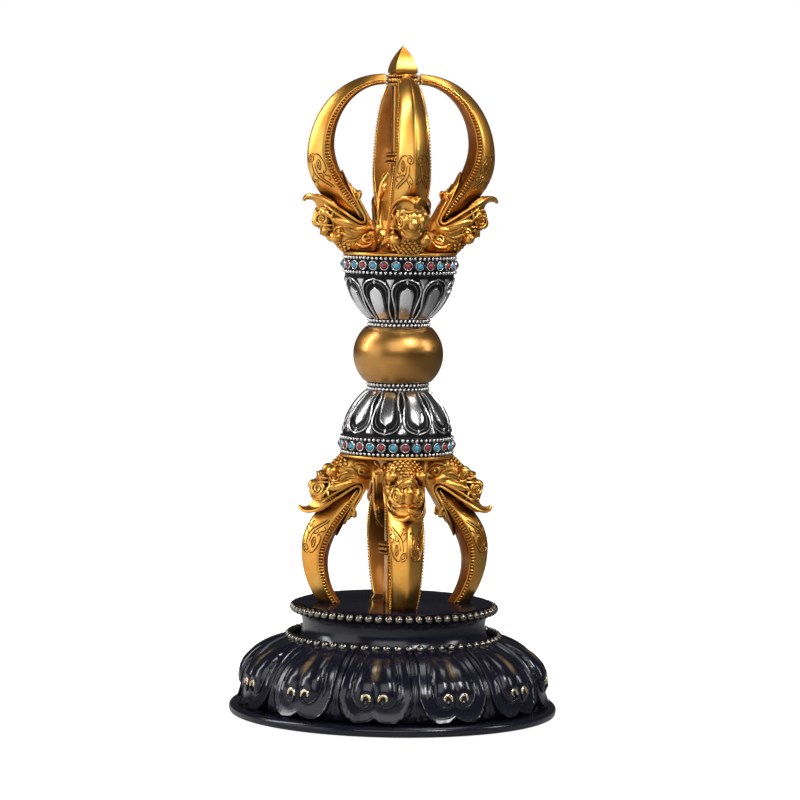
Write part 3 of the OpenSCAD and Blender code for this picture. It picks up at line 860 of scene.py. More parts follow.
def add_floor():
    """A white floor; what polished metal mirrors of it is painted lighter on the left and darker on the
    right, as painted light and shade in its reflections.
    """
    bm = bmesh.new()
    bmesh.ops.create_grid(bm, x_segments=1, y_segments=1, size=FLOOR_SIZE)
    mesh = shape_of(bm)
    floor = bpy.data.objects.new("floor", mesh)
    finish = Finish("floor_white", Roughness=0.7, Specular_IOR_Level=0.2, Emission_Color=(1, 1, 1, 1))
    cast = finish.use(casting(), Scale=3.0)
    shade = finish.mix(cast["Mottle"], *(opaque(rgb) for rgb in FLOOR_SHADES))
    path = add_node(finish.tree, "ShaderNodeLightPath").outputs
    # In reflections the floor is painted lighter on the left and darker on the right: a painted reflection of
    # light from the left and shade on the right.
    right = span(finish.tree, object_axes(finish.tree)["X"], *MIRRORED_SPAN, 0.0, 1.0)
    painted_reflection = finish.mix(right, opaque(MIRRORED_LEFT), opaque(MIRRORED_RIGHT))
    finish.feed("Base Color", finish.mix(path["Is Glossy Ray"], shade, painted_reflection))
    finish.feed("Emission Strength", finish.between(path["Is Camera Ray"], 0.0, FLOOR_GLOW))
    mesh.materials.append(finish.material)
    bpy.context.scene.collection.objects.link(floor)


def light_world():
    world = bpy.data.worlds.new("studio")
    world.use_nodes = True
    bpy.context.scene.world = world
    tree = world.node_tree
    ground = tree.nodes["Background"]
    ground.inputs["Color"].default_value = (1, 1, 1, 1)
    path = add_node(tree, "ShaderNodeLightPath")
    seen = value_math(tree, "MAXIMUM", path.outputs["Is Camera Ray"], path.outputs["Is Glossy Ray"])
    seen = value_math(tree, "MAXIMUM", seen, path.outputs["Is Transmission Ray"])
    tree.links.new(span(tree, seen, 0.0, 1.0, WORLD_FILL, 1.0), ground.inputs["Strength"])


class VajraStage(bpy.types.Operator):
    """Sets up the camera, floor, lights and world."""

    bl_idname = "vajra.stage"
    bl_label = "Stage"

    def execute(self, context):
        add_camera()
        add_floor()
        light_world()
        add_studio_wall()
        for softbox in SOFTBOXES:
            add_softbox(*softbox)
        context.scene.view_settings.view_transform = "Standard"
        return {"FINISHED"}


# The stand

SOCKET_R = 4.6
FLANGE_R = 7.03
FLANGE_H = 1.22
DISC_BEADS = 64
DISC_BEAD_RING = 31.4
LOTUS_BEADS = 60
LOTUS_PETALS = 12
LOTUS_TOP_R = 33.6


class VajraFootAndNeck(bpy.types.Operator):
    """Models the foot plate, the neck ring and the polished disc."""

    bl_idname = "vajra.foot_and_neck"
    bl_label = "Foot, neck and disc"

    def execute(self, context):
        foot = Workpiece()
        foot.add(turned(rounded([
            (0, FOOT_LOW + 1.0), (49.0, FOOT_LOW + 1.0), (49.2, FOOT_LOW), (FOOT_R - 0.3, FOOT_LOW),
            (FOOT_R, 1.4), (FOOT_R, FOOT_TOP - 0.9), (FOOT_R - 0.9, FOOT_TOP), (44.0, FOOT_TOP + 0.1),
            (0, FOOT_TOP + 0.1),
        ], 0.6), 192), "black_lacquer")
        finish_piece(foot, "foot_plate_turned", "stand", ["foot_plate"], 50.0)

        neck = Workpiece()
        side = [Vector((30.3, LOTUS_TOP)), Vector((28.3, LOTUS_TOP + 2.2)),
                Vector((28.2, DISC_Z - 2.2)), Vector((30.0, DISC_Z))]
        profile = [Vector((0, LOTUS_TOP))] + [cubic(side, t) for t in shares(16)] + [Vector((0, DISC_Z))]
        neck.add(turned(profile, 160), "black_lacquer")
        finish_piece(neck, "neck_turned", "stand", ["neck_ring"], 50.0)

        disc = Workpiece()
        disc.add(turned(rounded([
            (SOCKET_R, DISC_Z), (29.6, DISC_Z), (30.6, DISC_Z + 0.35), (30.9, DISC_Z + 1.2),
            (30.75, DISC_TOP - 0.25), (30.4, DISC_TOP), (FLANGE_R, DISC_TOP),
            (FLANGE_R, DISC_TOP - FLANGE_H), (SOCKET_R, DISC_TOP - FLANGE_H),
        ], 0.3), 192), "polished_black")
        finish_piece(disc, "disc_polished", "stand", ["top_disc"], 50.0)
        return {"FINISHED"}


class VajraStandBeads(bpy.types.Operator):
    """Models the two rings of beads on the stand."""

    bl_idname = "vajra.stand_beads"
    bl_label = "Beads of the stand"

    def execute(self, context):
        radius = sizes().stand_bead / MM
        for node, count, ring, z in (
            ("disc_bead_ring", DISC_BEADS, DISC_BEAD_RING, DISC_TOP - 0.35 - radius),
            ("lotus_bead_ring", LOTUS_BEADS, LOTUS_TOP_R - 0.6 * radius, LOTUS_TOP + 0.55 * radius),
        ):
            beads = Workpiece()
            beads.add(ball(radius * 0.98), "bead_bronze",
                      [placed(TURN * i / count, ring, z, 0.25 * TURN) for i in range(count)])
            finish_piece(beads, node + "_cast", "stand", [node])
        return {"FINISHED"}


LOTUS_SIDE = [Vector((45.6, FOOT_TOP)), Vector((50.4, FOOT_TOP + 0.3 * LOTUS_H)),
              Vector((43.8, FOOT_TOP + 0.82 * LOTUS_H)), Vector((LOTUS_TOP_R, LOTUS_TOP))]
LOTUS_RUN = 23.0
LOTUS_WIDTHS = [(0, 10.6), (4.5, 11.1), (8.5, 11.3), (12, 10.8), (15.5, 9.9), (19, 8.8), (23.5, 7.7)]


def lotus_point(across, up, rise):
    """Place on the lotus body: across and up run along its surface, rise stands off it."""
    t = min(max(up / LOTUS_RUN, 0.0), 1.04)
    side = cubic(LOTUS_SIDE, t)
    ahead = cubic(LOTUS_SIDE, t + 0.01) - cubic(LOTUS_SIDE, t - 0.01)
    out = Vector((ahead.y, max(-ahead.x, -0.1 * ahead.y))).normalized()
    angle = across / side.x
    spot = side + out * rise
    return Vector((spot.x * math.cos(angle), spot.x * math.sin(angle), spot.y))


PETAL_TOP = 23.4
PETAL_FOOT = [(0, 2.6), (0.6, 2.2), (1.5, 1.7), (3.0, 1.25), (5.0, 1.1), (6.4, 1.35), (7.6, 2.0), (8.8, 3.1),
              (9.8, 4.6), (10.5, 6.2), (11.2, 8.2)]


def petal_foot(across):
    """Lower edge of a lotus petal: two round lobes with a cusp between them."""
    return table(PETAL_FOOT, abs(across))


LOBE_AXIS = [(5.0, 2.7), (9.0, 3.1), (13.0, 2.9), (17.0, 2.4), (20.0, 2.0), (23.0, 1.7)]
LOBE_HALF = [(5.3, 0.3), (5.6, 1.5), (6.3, 2.5), (7.4, 3.1), (9.0, 3.5), (13.0, 3.4), (17.0, 2.8),
             (20.0, 2.3), (23.0, 1.9)]
LOBE_TOP = [(5.3, 0.0), (6.0, 0.5), (7.0, 1.1), (8.4, 1.75), (10.0, 2.2), (12.0, 2.4), (15.0, 2.05),
            (19.0, 1.1), (22.0, 0.4), (23.4, 0.1)]
CURL = Vector((2.5, 7.9))
CARVED_LINES = (3.1, 3.8, 4.5)
BACK_PETAL_LOW = 0.2
BACK_PETAL = [(0, 3.7), (2, 2.8), (4.5, 1.7), (7, 1.0), (12, 0.9), (23.2, 0.9)]


def petal_carving(across, up, side, foot):
    """Height of a lotus petal's carving; side and foot are the distances to its outline."""
    border = min(side, foot)
    rim = 0.24 * bell(border - 0.4, 0.24)
    plate = 0.55 * eased(0.0, 0.4, border) - 0.15 * eased(0.8, 2.4, border)
    flare = 2.5 * max(0.0, 1 - max(0.0, up - 1.0) / 6.4) ** 2.2
    axis, half = table(LOBE_AXIS, up), table(LOBE_HALF, up)
    off = (abs(across) - axis) / half
    outer = math.sqrt(max(0.0, 1 - off * off))
    shape = outer if off > 0 else blend(outer, 1 - 0.3 * off * off, eased(7.5, 12.0, up))
    dip = 1 - 0.7 * bell((Vector((abs(across), up)) - CURL).length, 1.0)
    lobe = table(LOBE_TOP, up) * shape * dip
    within = min(side, 0.66 * foot)
    lines = sum(0.2 * bell(within - place, 0.2) for place in CARVED_LINES)
    lines *= eased(6.5, 9.5, up) * (1 - eased(17.0, 21.0, up))
    return plate + rim + flare + max(lobe, lines)


def lotus_petal():
    """Broad petal: a heart-shaped border round two lobes."""
    def surface(u, v):
        low = petal_foot(u * table(LOTUS_WIDTHS, LOTUS_RUN * v))
        up = blend(low, PETAL_TOP, v)
        width = table(LOTUS_WIDTHS, up)
        across = u * width
        slope = (petal_foot(abs(across) + 0.2) - petal_foot(abs(across) - 0.2)) / 0.4
        side = (1 - abs(u)) * width
        foot = (up - petal_foot(across)) / math.hypot(1.0, slope)
        rise = petal_carving(across, up, side, foot) if min(side, foot) > 0.05 else -0.9
        return lotus_point(across, up, rise)
    return relief(84, 68, surface)


def lotus_back_petal():
    """Narrow pointed petal between two broad ones, with a rib along its middle."""
    def surface(u, v):
        up = blend(BACK_PETAL_LOW, BACK_PETAL[-1][0], v)
        half = table(BACK_PETAL, up)
        across = u * half
        rib = 0.35 * bell(across, 0.3)
        edge = 0.28 * bell(half - abs(across) - 0.3, 0.22)
        rise = -0.7 if abs(u) > 0.98 or v < 0.01 else 0.12 + rib + edge
        return lotus_point(across, up, rise)
    return relief(16, 40, surface)


HOOK = [(6.7, 12.6), (6.85, 10.4), (6.5, 8.3), (5.5, 6.8), (4.1, 5.9), (2.6, 5.9), (1.6, 6.6), (1.35, 7.5)]
CAP = [(1.35, 7.2), (1.3, 8.0), (1.75, 8.8), (2.6, 9.1), (3.4, 8.75), (3.65, 8.0), (3.45, 7.6)]


def petal_volutes(work, turn):
    """The rolled ends of a petal's two lobes: a black line below, rolled up into a gilt curl."""
    for side in (-1, 1):
        hook = smooth_path(HOOK, 5)
        lift = [0.7 + 1.0 * eased(0.55, 1.0, i / (len(hook) - 1)) for i in range(len(hook))]
        path = [lotus_point(side * p.x, p.y, rise) for p, rise in zip(hook, lift)]
        work.add(wire(path, 0.4, lambda t: 0.35 + 0.65 * eased(0.0, 0.5, t)), "lotus_lacquer", [turn])
        curl = [lotus_point(side * p.x, p.y, 1.75) for p in smooth_path(CAP, 5)]
        work.add(wire(curl, 0.58, lambda t: 0.3 + 0.7 * math.sin(math.pi * t)), "hook_gilt", [turn])


class VajraLotus(bpy.types.Operator):
    """Models the carved lotus body of the stand."""

    bl_idname = "vajra.lotus"
    bl_label = "Lotus"

    def execute(self, context):
        lotus = Workpiece()
        side = [cubic(LOTUS_SIDE, t) for t in shares(24)]
        lotus.add(turned([Vector((30.0, FOOT_TOP))] + [p + Vector((-0.35, 0)) for p in side]
                         + [Vector((29.0, LOTUS_TOP - 0.02))], 144), "lotus_lacquer")
        pitch = TURN / LOTUS_PETALS
        petals = [Matrix.Rotation(FRONT + (i + 0.5) * pitch, 4, "Z") for i in range(LOTUS_PETALS)]
        between = [Matrix.Rotation(FRONT + i * pitch, 4, "Z") for i in range(LOTUS_PETALS)]
        lotus.add(lotus_petal(), "lotus_lacquer", petals)
        lotus.add(lotus_back_petal(), "lotus_lacquer", between)
        for turn in petals:
            petal_volutes(lotus, turn)
        finish_piece(lotus, "lotus_carved", "stand", ["lotus_body"], 60.0)
        return {"FINISHED"}


# The grip: ball, collars, cups and gem bands

BORE_R = 2.2
BALL_R = 14.1
CUP_H = 13.7
CUP_FOOT_R = 9.6
CUP_RIM_R = 17.1
CUP_BELLY = 1.5
CUP_PETALS = 10
BAND_R = 17.1
BAND_INNER_R = 15.1
BAND_H = 5.8
BAND_BEADS = 72
COLLAR_R = 9.4
COLLAR_H = 3.0
COLLAR_BEADS = 44
COLLAR_ROWS = (0.27, 0.73)
HALF_BALL = 0.5 * (BALL_HIGH - BALL_LOW)
CUP_LOW = HALF_BALL + COLLAR_H
CUP_HIGH = CUP_LOW + CUP_H
LOWER_CUP_TURN = math.radians(15)
HALVES = (("lower", False), ("upper", True))


def half_matrix(upper):
    """Carries a shape drawn above the ball's middle to the upper or the lower half."""
    return Matrix.Translation((0, 0, BALL_MIDDLE)) @ scaled(1, 1, 1 if upper else -1)


class VajraBall(bpy.types.Operator):
    """Models the brushed ball in the middle of the grip."""

    bl_idname = "vajra.ball"
    bl_label = "Ball"

    def execute(self, context):
        work = Workpiece()
        end_r = COLLAR_R + 1.0
        belly = BALL_R - end_r
        radius = (HALF_BALL**2 + belly**2) / (2 * belly)
        angle = math.asin(HALF_BALL / radius)
        arc = [Vector((BALL_R - radius + radius * math.cos(a), radius * math.sin(a)))
               for a in (blend(-angle, angle, t) for t in shares(49))]
        arc = [Vector((end_r - 0.5, -HALF_BALL))] + arc + [Vector((end_r - 0.5, HALF_BALL))]
        profile = [Vector((BORE_R, -HALF_BALL))] + rounded(arc, 0.25) + [Vector((BORE_R, HALF_BALL))]
        work.add(turned(profile, 128), "brushed_gilt", [Matrix.Translation((0, 0, BALL_MIDDLE))])
        finish_piece(work, "ball_brushed", "vajra", ["ball"], 50.0)
        return {"FINISHED"}


class VajraCollars(bpy.types.Operator):
    """Models the two collars with their double rows of beads."""

    bl_idname = "vajra.collars"
    bl_label = "Collars"

    def execute(self, context):
        radius = sizes().collar_bead / MM
        for half, upper in HALVES:
            low = HALF_BALL
            collar = Workpiece()
            collar.add(turned(rounded([
                (BORE_R, low), (COLLAR_R + 0.35, low), (COLLAR_R + 0.35, low + 0.22),
                (COLLAR_R - 0.15, low + 0.3), (COLLAR_R - 0.15, low + 1.4), (COLLAR_R + 0.1, low + 1.5),
                (COLLAR_R - 0.15, low + 1.6), (COLLAR_R - 0.15, low + 2.7), (COLLAR_R + 0.35, low + 2.78),
                (COLLAR_R + 0.35, low + COLLAR_H), (BORE_R, low + COLLAR_H),
            ], 0.1), 96), "black_silver", [half_matrix(upper)])
            node = half + "_collar"
            finish_piece(collar, node + "_turned", "vajra", [node])
            places = []
            for row, share in enumerate(COLLAR_ROWS):
                for i in range(COLLAR_BEADS):
                    angle = TURN * (i + 0.5 * row) / COLLAR_BEADS
                    places.append(half_matrix(upper) @ placed(angle, COLLAR_R, low + share * COLLAR_H))
            beads = Workpiece()
            beads.add(ball(radius, 10, 6), "bright_silver", places)
            finish_piece(beads, node + "_beads_cast", "vajra", [node + "_beads"])
        return {"FINISHED"}


def cup_radius(up):
    """Radius of a cup's belly at a height above its foot."""
    foot, rim = Vector((CUP_FOOT_R, 0)), Vector((CUP_RIM_R, CUP_H))
    chord = (rim - foot).length
    radius = (0.25 * chord * chord + CUP_BELLY**2) / (2 * CUP_BELLY)
    out = Vector((rim.y - foot.y, foot.x - rim.x)).normalized()
    centre = 0.5 * (foot + rim) - out * (radius - CUP_BELLY)
    return centre.x + math.sqrt(max(radius**2 - (up - centre.y) ** 2, 0.0))


def cup_point(across, up, rise):
    """Place on a cup's surface: across along it, up above its foot, rise off it."""
    radius = cup_radius(up)
    slope = (cup_radius(min(up + 0.1, CUP_H)) - cup_radius(max(up - 0.1, 0.0))) / 0.2
    out = Vector((1, -slope)).normalized()
    angle = across / radius
    spot = Vector((radius, up)) + out * rise
    return Vector((spot.x * math.cos(angle), spot.x * math.sin(angle), CUP_LOW + spot.y))


def cup_panel(widths, swell, columns=14, rows=44):
    """A raised panel on a cup; widths gives its half width by height."""
    low, high = widths[0][0], widths[-1][0]

    def surface(u, v):
        up = blend(low, high, v)
        rise = -0.4 if abs(u) > 0.97 or v < 0.01 or v > 0.99 else swell(u)
        return cup_point(u * table(widths, up), up, rise)
    return relief(columns, rows, surface)


CUP_EDGE = [(2.62, 0.05), (2.75, 1.5), (3.2, 3.6), (3.9, 5.8), (4.4, 7.6), (4.5, 8.9), (4.2, 10.1),
            (3.4, 11.2), (2.1, 11.95), (0.9, 12.3), (0.0, 12.65)]
CUP_PAD = [(0.1, 1.75), (2.6, 1.95), (5.0, 2.2), (7.0, 2.3), (8.3, 2.1), (9.0, 1.55), (9.4, 0.8), (9.7, 0.3),
           (10.2, 0.03)]
CUP_DROP = [(10.8, 0.03), (11.2, 0.32), (11.7, 0.42), (12.1, 0.25), (12.45, 0.03)]
CUP_TIP = [(8.7, 0.03), (10.0, 0.32), (10.9, 0.66), (11.6, 1.2), (12.1, 1.55), (12.5, 1.3)]
CUP_GROOVE = [(2.25, 0.3), (2.5, 2.6), (3.1, 5.4), (3.45, 7.6), (3.2, 9.4), (2.2, 10.6), (0.9, 11.2),
              (0.0, 11.5)]


def cup_outline(points, rise):
    """Path up one side of a cup petal, over its tip and down the other side."""
    half = smooth_path(points, 4)
    whole = half + [Vector((-p.x, p.y)) for p in reversed(half[:-1])]
    return [cup_point(p.x, p.y, rise) for p in whole]


def add_cup_petals(work, turns):
    """Front petals: a bright outline, a dark channel with a faint line, a polished pad and a drop."""
    line = sizes().cup_line / MM
    work.add(wire(cup_outline(CUP_EDGE, 0.26), line), "bright_silver", turns)
    work.add(wire(cup_outline(CUP_GROOVE, 0.06), 0.13, sides=1), "black_silver", turns)
    work.add(cup_panel(CUP_PAD, lambda u: 0.3 + 0.25 * (1 - u**6)), "bright_silver", turns)
    work.add(cup_panel(CUP_DROP, lambda u: 0.2 + 0.2 * (1 - u * u), 6, 14), "bright_silver", turns)


def add_cup_tips(work, turns):
    """Tips of the back petals, seen between the front ones."""
    work.add(cup_panel(CUP_TIP, lambda u: 0.14 + 0.22 * (1 - abs(u)), 8, 24), "bright_silver", turns)


class VajraCups(bpy.types.Operator):
    """Models the two silver lotus cups."""

    bl_idname = "vajra.cups"
    bl_label = "Lotus cups"

    def execute(self, context):
        pitch = TURN / CUP_PETALS
        for half, upper in HALVES:
            start = FRONT + (0.0 if upper else LOWER_CUP_TURN)
            here = half_matrix(upper)
            petals = [here @ Matrix.Rotation(start + i * pitch, 4, "Z") for i in range(CUP_PETALS)]
            between = [here @ Matrix.Rotation(start + (i + 0.5) * pitch, 4, "Z") for i in range(CUP_PETALS)]
            work = Workpiece()
            skin = [Vector((cup_radius(CUP_H * t), CUP_LOW + CUP_H * t)) for t in shares(25)]
            lip = [Vector((CUP_RIM_R, CUP_HIGH - 0.15)), Vector((CUP_RIM_R - 0.3, CUP_HIGH))]
            profile = [Vector((BORE_R, CUP_LOW))] + skin[:-1] + lip + [Vector((BORE_R, CUP_HIGH))]
            work.add(turned(profile, 128), "black_silver", [here])
            add_cup_petals(work, petals)
            add_cup_tips(work, between)
            finish_piece(work, half + "_cup_chased", "vajra", [half + "_cup"], 45.0)
        return {"FINISHED"}


STONES = 30
STONE_Z = CUP_HIGH + 0.5 * BAND_H


def bezel_shape():
    outer = sizes().bezel_radius / MM
    inner = sizes().stone_radius / MM + 0.04
    return turned(rounded([
        (inner - 0.12, -0.6), (outer, -0.6), (outer, 0.75), (outer - 0.1, 0.98), (inner + 0.02, 0.98),
        (inner - 0.04, 0.6),
    ], 0.12), 24)


def stone_shape():
    radius = sizes().stone_radius / MM - 0.1
    angles = [0.25 * TURN * t for t in shares(8)]
    dome = [Vector((radius * math.cos(a), 0.66 + 0.84 * math.sin(a))) for a in angles]
    return turned([Vector((0, -0.5)), Vector((radius, -0.5))] + dome, 24)


class VajraGemBands(bpy.types.Operator):
    """Models the two gem bands: rings, beads, bezels and stones."""

    bl_idname = "vajra.gem_bands"
    bl_label = "Gem bands"

    def execute(self, context):
        bead = sizes().band_bead / MM
        for half, upper in HALVES:
            here = half_matrix(upper)
            band = Workpiece()
            band.add(turned(rounded([
                (BAND_INNER_R, CUP_HIGH), (BAND_R - 0.1, CUP_HIGH), (BAND_R - 0.05, CUP_HIGH + 0.2),
                (BAND_R - 0.25, CUP_HIGH + 0.7), (BAND_R - 0.05, CUP_HIGH + 1.35), (BAND_R, CUP_HIGH + 1.5),
                (BAND_R, CUP_HIGH + BAND_H - 1.5), (BAND_R - 0.05, CUP_HIGH + BAND_H - 1.35),
                (BAND_R - 0.25, CUP_HIGH + BAND_H - 0.7), (BAND_R - 0.05, CUP_HIGH + BAND_H - 0.2),
                (BAND_R - 0.1, CUP_HIGH + BAND_H), (BAND_INNER_R, CUP_HIGH + BAND_H),
            ], 0.15), 128), "black_silver", [here])
            finish_piece(band, half + "_gem_band_turned", "vajra", [half + "_gem_band"])

            rows = [STONE_Z + row * (0.5 * BAND_H - bead - 0.1) for row in (-1, 1)]
            beads = Workpiece()
            beads.add(ball(bead, 10, 6), "bright_silver", [
                here @ placed(TURN * (i + 0.5) / BAND_BEADS, BAND_R + 0.3, z)
                for z in rows for i in range(BAND_BEADS)])
            finish_piece(beads, half + "_band_beads_cast", "vajra", [half + "_band_beads"])

            turns = [FRONT + TURN * i / STONES for i in range(STONES)]
            seats = [here @ placed(turn, BAND_R, STONE_Z, 0.25 * TURN) for turn in turns]
            bezels = Workpiece()
            bezels.add(bezel_shape(), "bright_silver", seats)
            finish_piece(bezels, half + "_bezels_rolled", "vajra", [half + "_bezels"])
            for kind, first in (("coral", 0), ("turquoise", 1)):
                stones = Workpiece()
                stones.add(stone_shape(), kind, seats[first::2])
                node = half + "_" + kind + "_stones"
                finish_piece(stones, node + "_domed", "vajra", [node])
        return {"FINISHED"}


# The crowns

def crown_matrix(upper, angle):
    """Carries a shape drawn above a crown plate, along +X, to its crown and its side."""
    height = HIGH_PLATE if upper else LOW_PLATE
    return (Matrix.Translation((0, 0, height)) @ scaled(1, 1, 1 if upper else -1)
            @ Matrix.Rotation(angle, 4, "Z"))


PLATE_RIM = [
    (BORE_R, -1.0), (17.5, -1.0), (17.85, -0.75), (17.85, -0.25), (17.5, 0.0), (15.8, 0.0), (15.2, -0.2),
    (14.2, -0.1), (8.6, -0.05), (7.6, 0.9), (6.2, 1.5), (5.2, 2.6), (BORE_R, 2.6),
]
PLATE_SPIGOT = [(BORE_R, -5.2), (14.9, -5.2), (14.9, -0.9), (BORE_R, -0.9)]


class VajraCrownPlates(bpy.types.Operator):
    """Models the gilt plates under the makara heads."""

    bl_idname = "vajra.crown_plates"
    bl_label = "Crown plates"

    def execute(self, context):
        for half, upper in HALVES:
            work = Workpiece()
            for profile, rounding, segments in ((PLATE_RIM, 0.25, 96), (PLATE_SPIGOT, 0.2, 64)):
                plate = turned(rounded(profile, rounding), segments)
                work.add(plate, "antique_gilt", [crown_matrix(upper, 0.0)])
            node = half + "_crown_plate"
            finish_piece(work, node + "_turned", "vajra", [node])
        return {"FINISHED"}


BULGE_H = 29.0
MOUTH_R = 12.6
MOUTH_H = 9.8
END_R = 5.45
END_DEPTH = 3.3
END_HALF_W = 2.0


def prong_at(t):
    """Ridge, back and half width of a prong; t is 0 in the mouth, 1 at the bulge and 2 at the end."""
    out = sizes().crown_radius / MM
    back = out - sizes().prong_depth / MM
    half = sizes().prong_half_width / MM
    if t <= 1:
        ridge = [(MOUTH_R + 0.4, MOUTH_H - 0.2), (MOUTH_R + 9.9, MOUTH_H + 2.6), (out, BULGE_H - 8.5),
                 (out, BULGE_H)]
        rear = [(MOUTH_R - 0.4, MOUTH_H + 0.2), (MOUTH_R + 0.9, MOUTH_H + 6.7), (back, BULGE_H - 4.5),
                (back, BULGE_H + 4.2)]
        width = [4.4, half + 1.3, half + 0.8, half]
    else:
        t -= 1
        ridge = [(out, BULGE_H), (out, BULGE_H + 13), (0.7 * out, CROWN_H), (END_R, CROWN_H)]
        rear = [(back, BULGE_H + 4.2), (back, BULGE_H + 13.5), (0.7 * back, CROWN_H - END_DEPTH),
                (END_R, CROWN_H - END_DEPTH)]
        width = [half, 0.9 * half, 0.62 * half, END_HALF_W]
    return cubic([Vector(p) for p in ridge], t), cubic([Vector(p) for p in rear], t), cubic(width, t)


def strip_edges(t):
    """Edges of the ladder strip, nearer the back in the mouth than at the bulge."""
    near = max(0.0, 1 - t)
    return (0.40 - 0.06 * near, 0.89), (0.21 - 0.13 * near, 0.88 + 0.04 * near)


def prong_point(t, depth, width):
    """Place in a prong's section: depth from back 0 to ridge 1, width from middle 0 to corner 1."""
    ridge, back, half = prong_at(t)
    spot = back + (ridge - back) * depth
    return Vector((spot.x, width * half, spot.y))


def flank_point(t, share, side, lift=0.0):
    """Place on a prong's flank, from the ridge at 0 to the ladder strip at 1."""
    swell = 0.035 * math.sin(math.pi * share)
    corner = strip_edges(t)[0]
    depth = blend(1.0, corner[0], share) + swell
    width = corner[1] * share + swell
    ridge, back, half = prong_at(t)
    along = (ridge - back).normalized()
    flank = Vector(((corner[0] - 1) * (ridge - back).length, corner[1] * half)).normalized()
    spot = prong_point(t, depth, width) + lift * Vector((flank.y * along.x, -flank.x, flank.y * along.y))
    return Vector((spot.x, side * spot.y, spot.z))


def back_width(t):
    """Width of the face that a prong turns to the axis, as a share of the prong's."""
    return blend(0.8, 0.35, eased(0.0, 0.7, t))


def prong_ring(t):
    """Section of a prong."""
    half_ring = [flank_point(t, s, 1) for s in (0.03, 0.2, 0.4, 0.6, 0.8, 1.0)]
    half_ring += [prong_point(t, *strip_edges(t)[1]), prong_point(t, 0.0, back_width(t))]
    return half_ring + mirrored(half_ring)


def strip_frame(t):
    """Directions of the ladder strip: over it, along it and out of it."""
    outer, inner = strip_edges(t)
    ahead = (prong_point(t + 0.01, *outer) - prong_point(t - 0.01, *outer)).normalized()
    over = prong_point(t, *inner) - prong_point(t, *outer)
    over = (over - ahead * over.dot(ahead)).normalized()
    proud = over.cross(ahead)
    return over, ahead, proud if proud.y > 0 else -proud


def strip_floor(t):
    """Section of the floor between the ladder's bars, painted dull and dark as the shade between them."""
    outer, inner = (prong_point(t, *edge) for edge in strip_edges(t))
    proud = strip_frame(t)[2]
    near, far = outer.lerp(inner, 0.06), outer.lerp(inner, 0.94)
    return [near + 0.06 * proud, far + 0.06 * proud, far - 0.4 * proud, near - 0.4 * proud]


def ladder(work):
    """Rails and little bars along a prong's two side corners."""
    pitch = sizes().ladder_pitch / MM
    bars = []
    t, last = 0.12, None
    while t < 1.97:
        outer, inner = (prong_point(t, *edge) for edge in strip_edges(t))
        middle = (outer + inner) * 0.5
        if last is None or (middle - last).length >= pitch:
            last = middle
            over, ahead, proud = strip_frame(t)
            turn = Matrix((over, ahead, proud)).transposed().to_4x4()
            length = (inner - outer).length
            place = Matrix.Translation(middle + 0.16 * proud) @ turn @ scaled(max(length - 0.3, 0.3), 1, 1)
            bars += [side @ place for side in BOTH_SIDES]
        t += 0.002
    work.add(eased_block(1.0, 0.55, 1.1, 0.24), "polished_gilt", bars)
    floor = lofted([strip_floor(t) for t in (blend(0.1, 1.975, s) for s in shares(80))])
    work.add(floor, "inner_gilt", BOTH_SIDES)
    for edge in (0, 1):
        path = [prong_point(t, *strip_edges(t)[edge]) for t in (blend(0.08, 1.985, s) for s in shares(80))]
        work.add(wire(path, 0.2, sides=1), "antique_gilt", BOTH_SIDES)


def back_ring(t):
    """Section of the face that a prong turns to the axis, painted a dull red brown as painted shade and
    patina.
    """
    inner = strip_edges(t)[1]
    half_ring = [prong_point(t, inner[0] - 0.03, inner[1] - 0.02), prong_point(t, -0.012, back_width(t))]
    core = [prong_point(t, 0.14, 0.3)]
    return half_ring + mirrored(half_ring) + mirrored(core) + core


SCROLL_START = 0.53
SCROLL_RUN = 24.5
SCROLL_EDGE = 0.96
SCROLL_WIDTH = 6.2
SCROLL = [
    [(3.0, 11.2), (2.3, 11.3), (1.5, 10.6), (0.8, 9.2), (0.35, 7.4), (0.4, 5.9), (0.9, 5.1), (1.4, 5.5),
     (1.2, 6.0)],
    [(1.9, 9.7), (2.5, 8.7), (2.5, 7.4), (2.0, 6.4), (1.5, 7.4), (1.5, 8.7), (1.9, 9.7)],
    [(1.95, 8.8), (2.1, 7.9), (1.95, 7.2)],
    [(4.1, 9.1), (4.15, 7.4), (4.0, 5.9), (3.4, 4.4), (2.5, 2.9), (1.5, 1.2), (1.1, 0.3)],
    [(3.3, 8.7), (3.2, 7.0), (3.0, 5.6), (2.3, 4.0), (1.4, 2.4), (0.7, 1.0), (0.5, 0.1)],
    [(4.2, 6.4), (4.7, 5.6), (5.3, 5.0), (5.5, 4.2), (5.0, 3.6), (4.5, 4.0), (4.8, 4.5)],
    [(3.5, 4.5), (4.1, 3.5), (4.6, 2.8), (4.3, 2.0)],
    [(1.4, 5.1), (1.0, 4.2), (0.5, 3.9), (0.2, 3.2), (0.5, 2.6), (0.9, 2.9)],
    [(2.9, 5.4), (2.2, 5.4), (1.8, 4.7), (1.9, 3.8)],
]


def scroll_lines():
    """Scroll drawn on a flank in millimetres: across it from the ladder strip, and along it."""
    return [smooth_path(line) for line in SCROLL] + [spiral((4.1, 10.5), 1.4, 0.3, 2.6, -1.7, 44)]


def add_scrolls(work):
    """Scroll chased into both flanks of a prong beyond the head: each line a dark wire painted as the shade
    of an engraved groove, with a bright edge beside it.
    """
    radius = sizes().scroll_wire / MM
    for line in scroll_lines():
        for side in (-1, 1):
            for shift, share, finish in ((0.0, 1.0, "engraving"), (0.25, 0.75, "antique_gilt")):
                path = []
                for p in line:
                    along = SCROLL_START + (p.y - shift) / SCROLL_RUN
                    over = SCROLL_EDGE - (p.x + 0.5 * shift) / SCROLL_WIDTH
                    path.append(flank_point(along, over, side, 0.02))
                work.add(wire(path, share * radius, thin_ends(0.12), sides=1), finish)


# Makara heads, drawn in a crown's own plane: radius, width and height above the plate

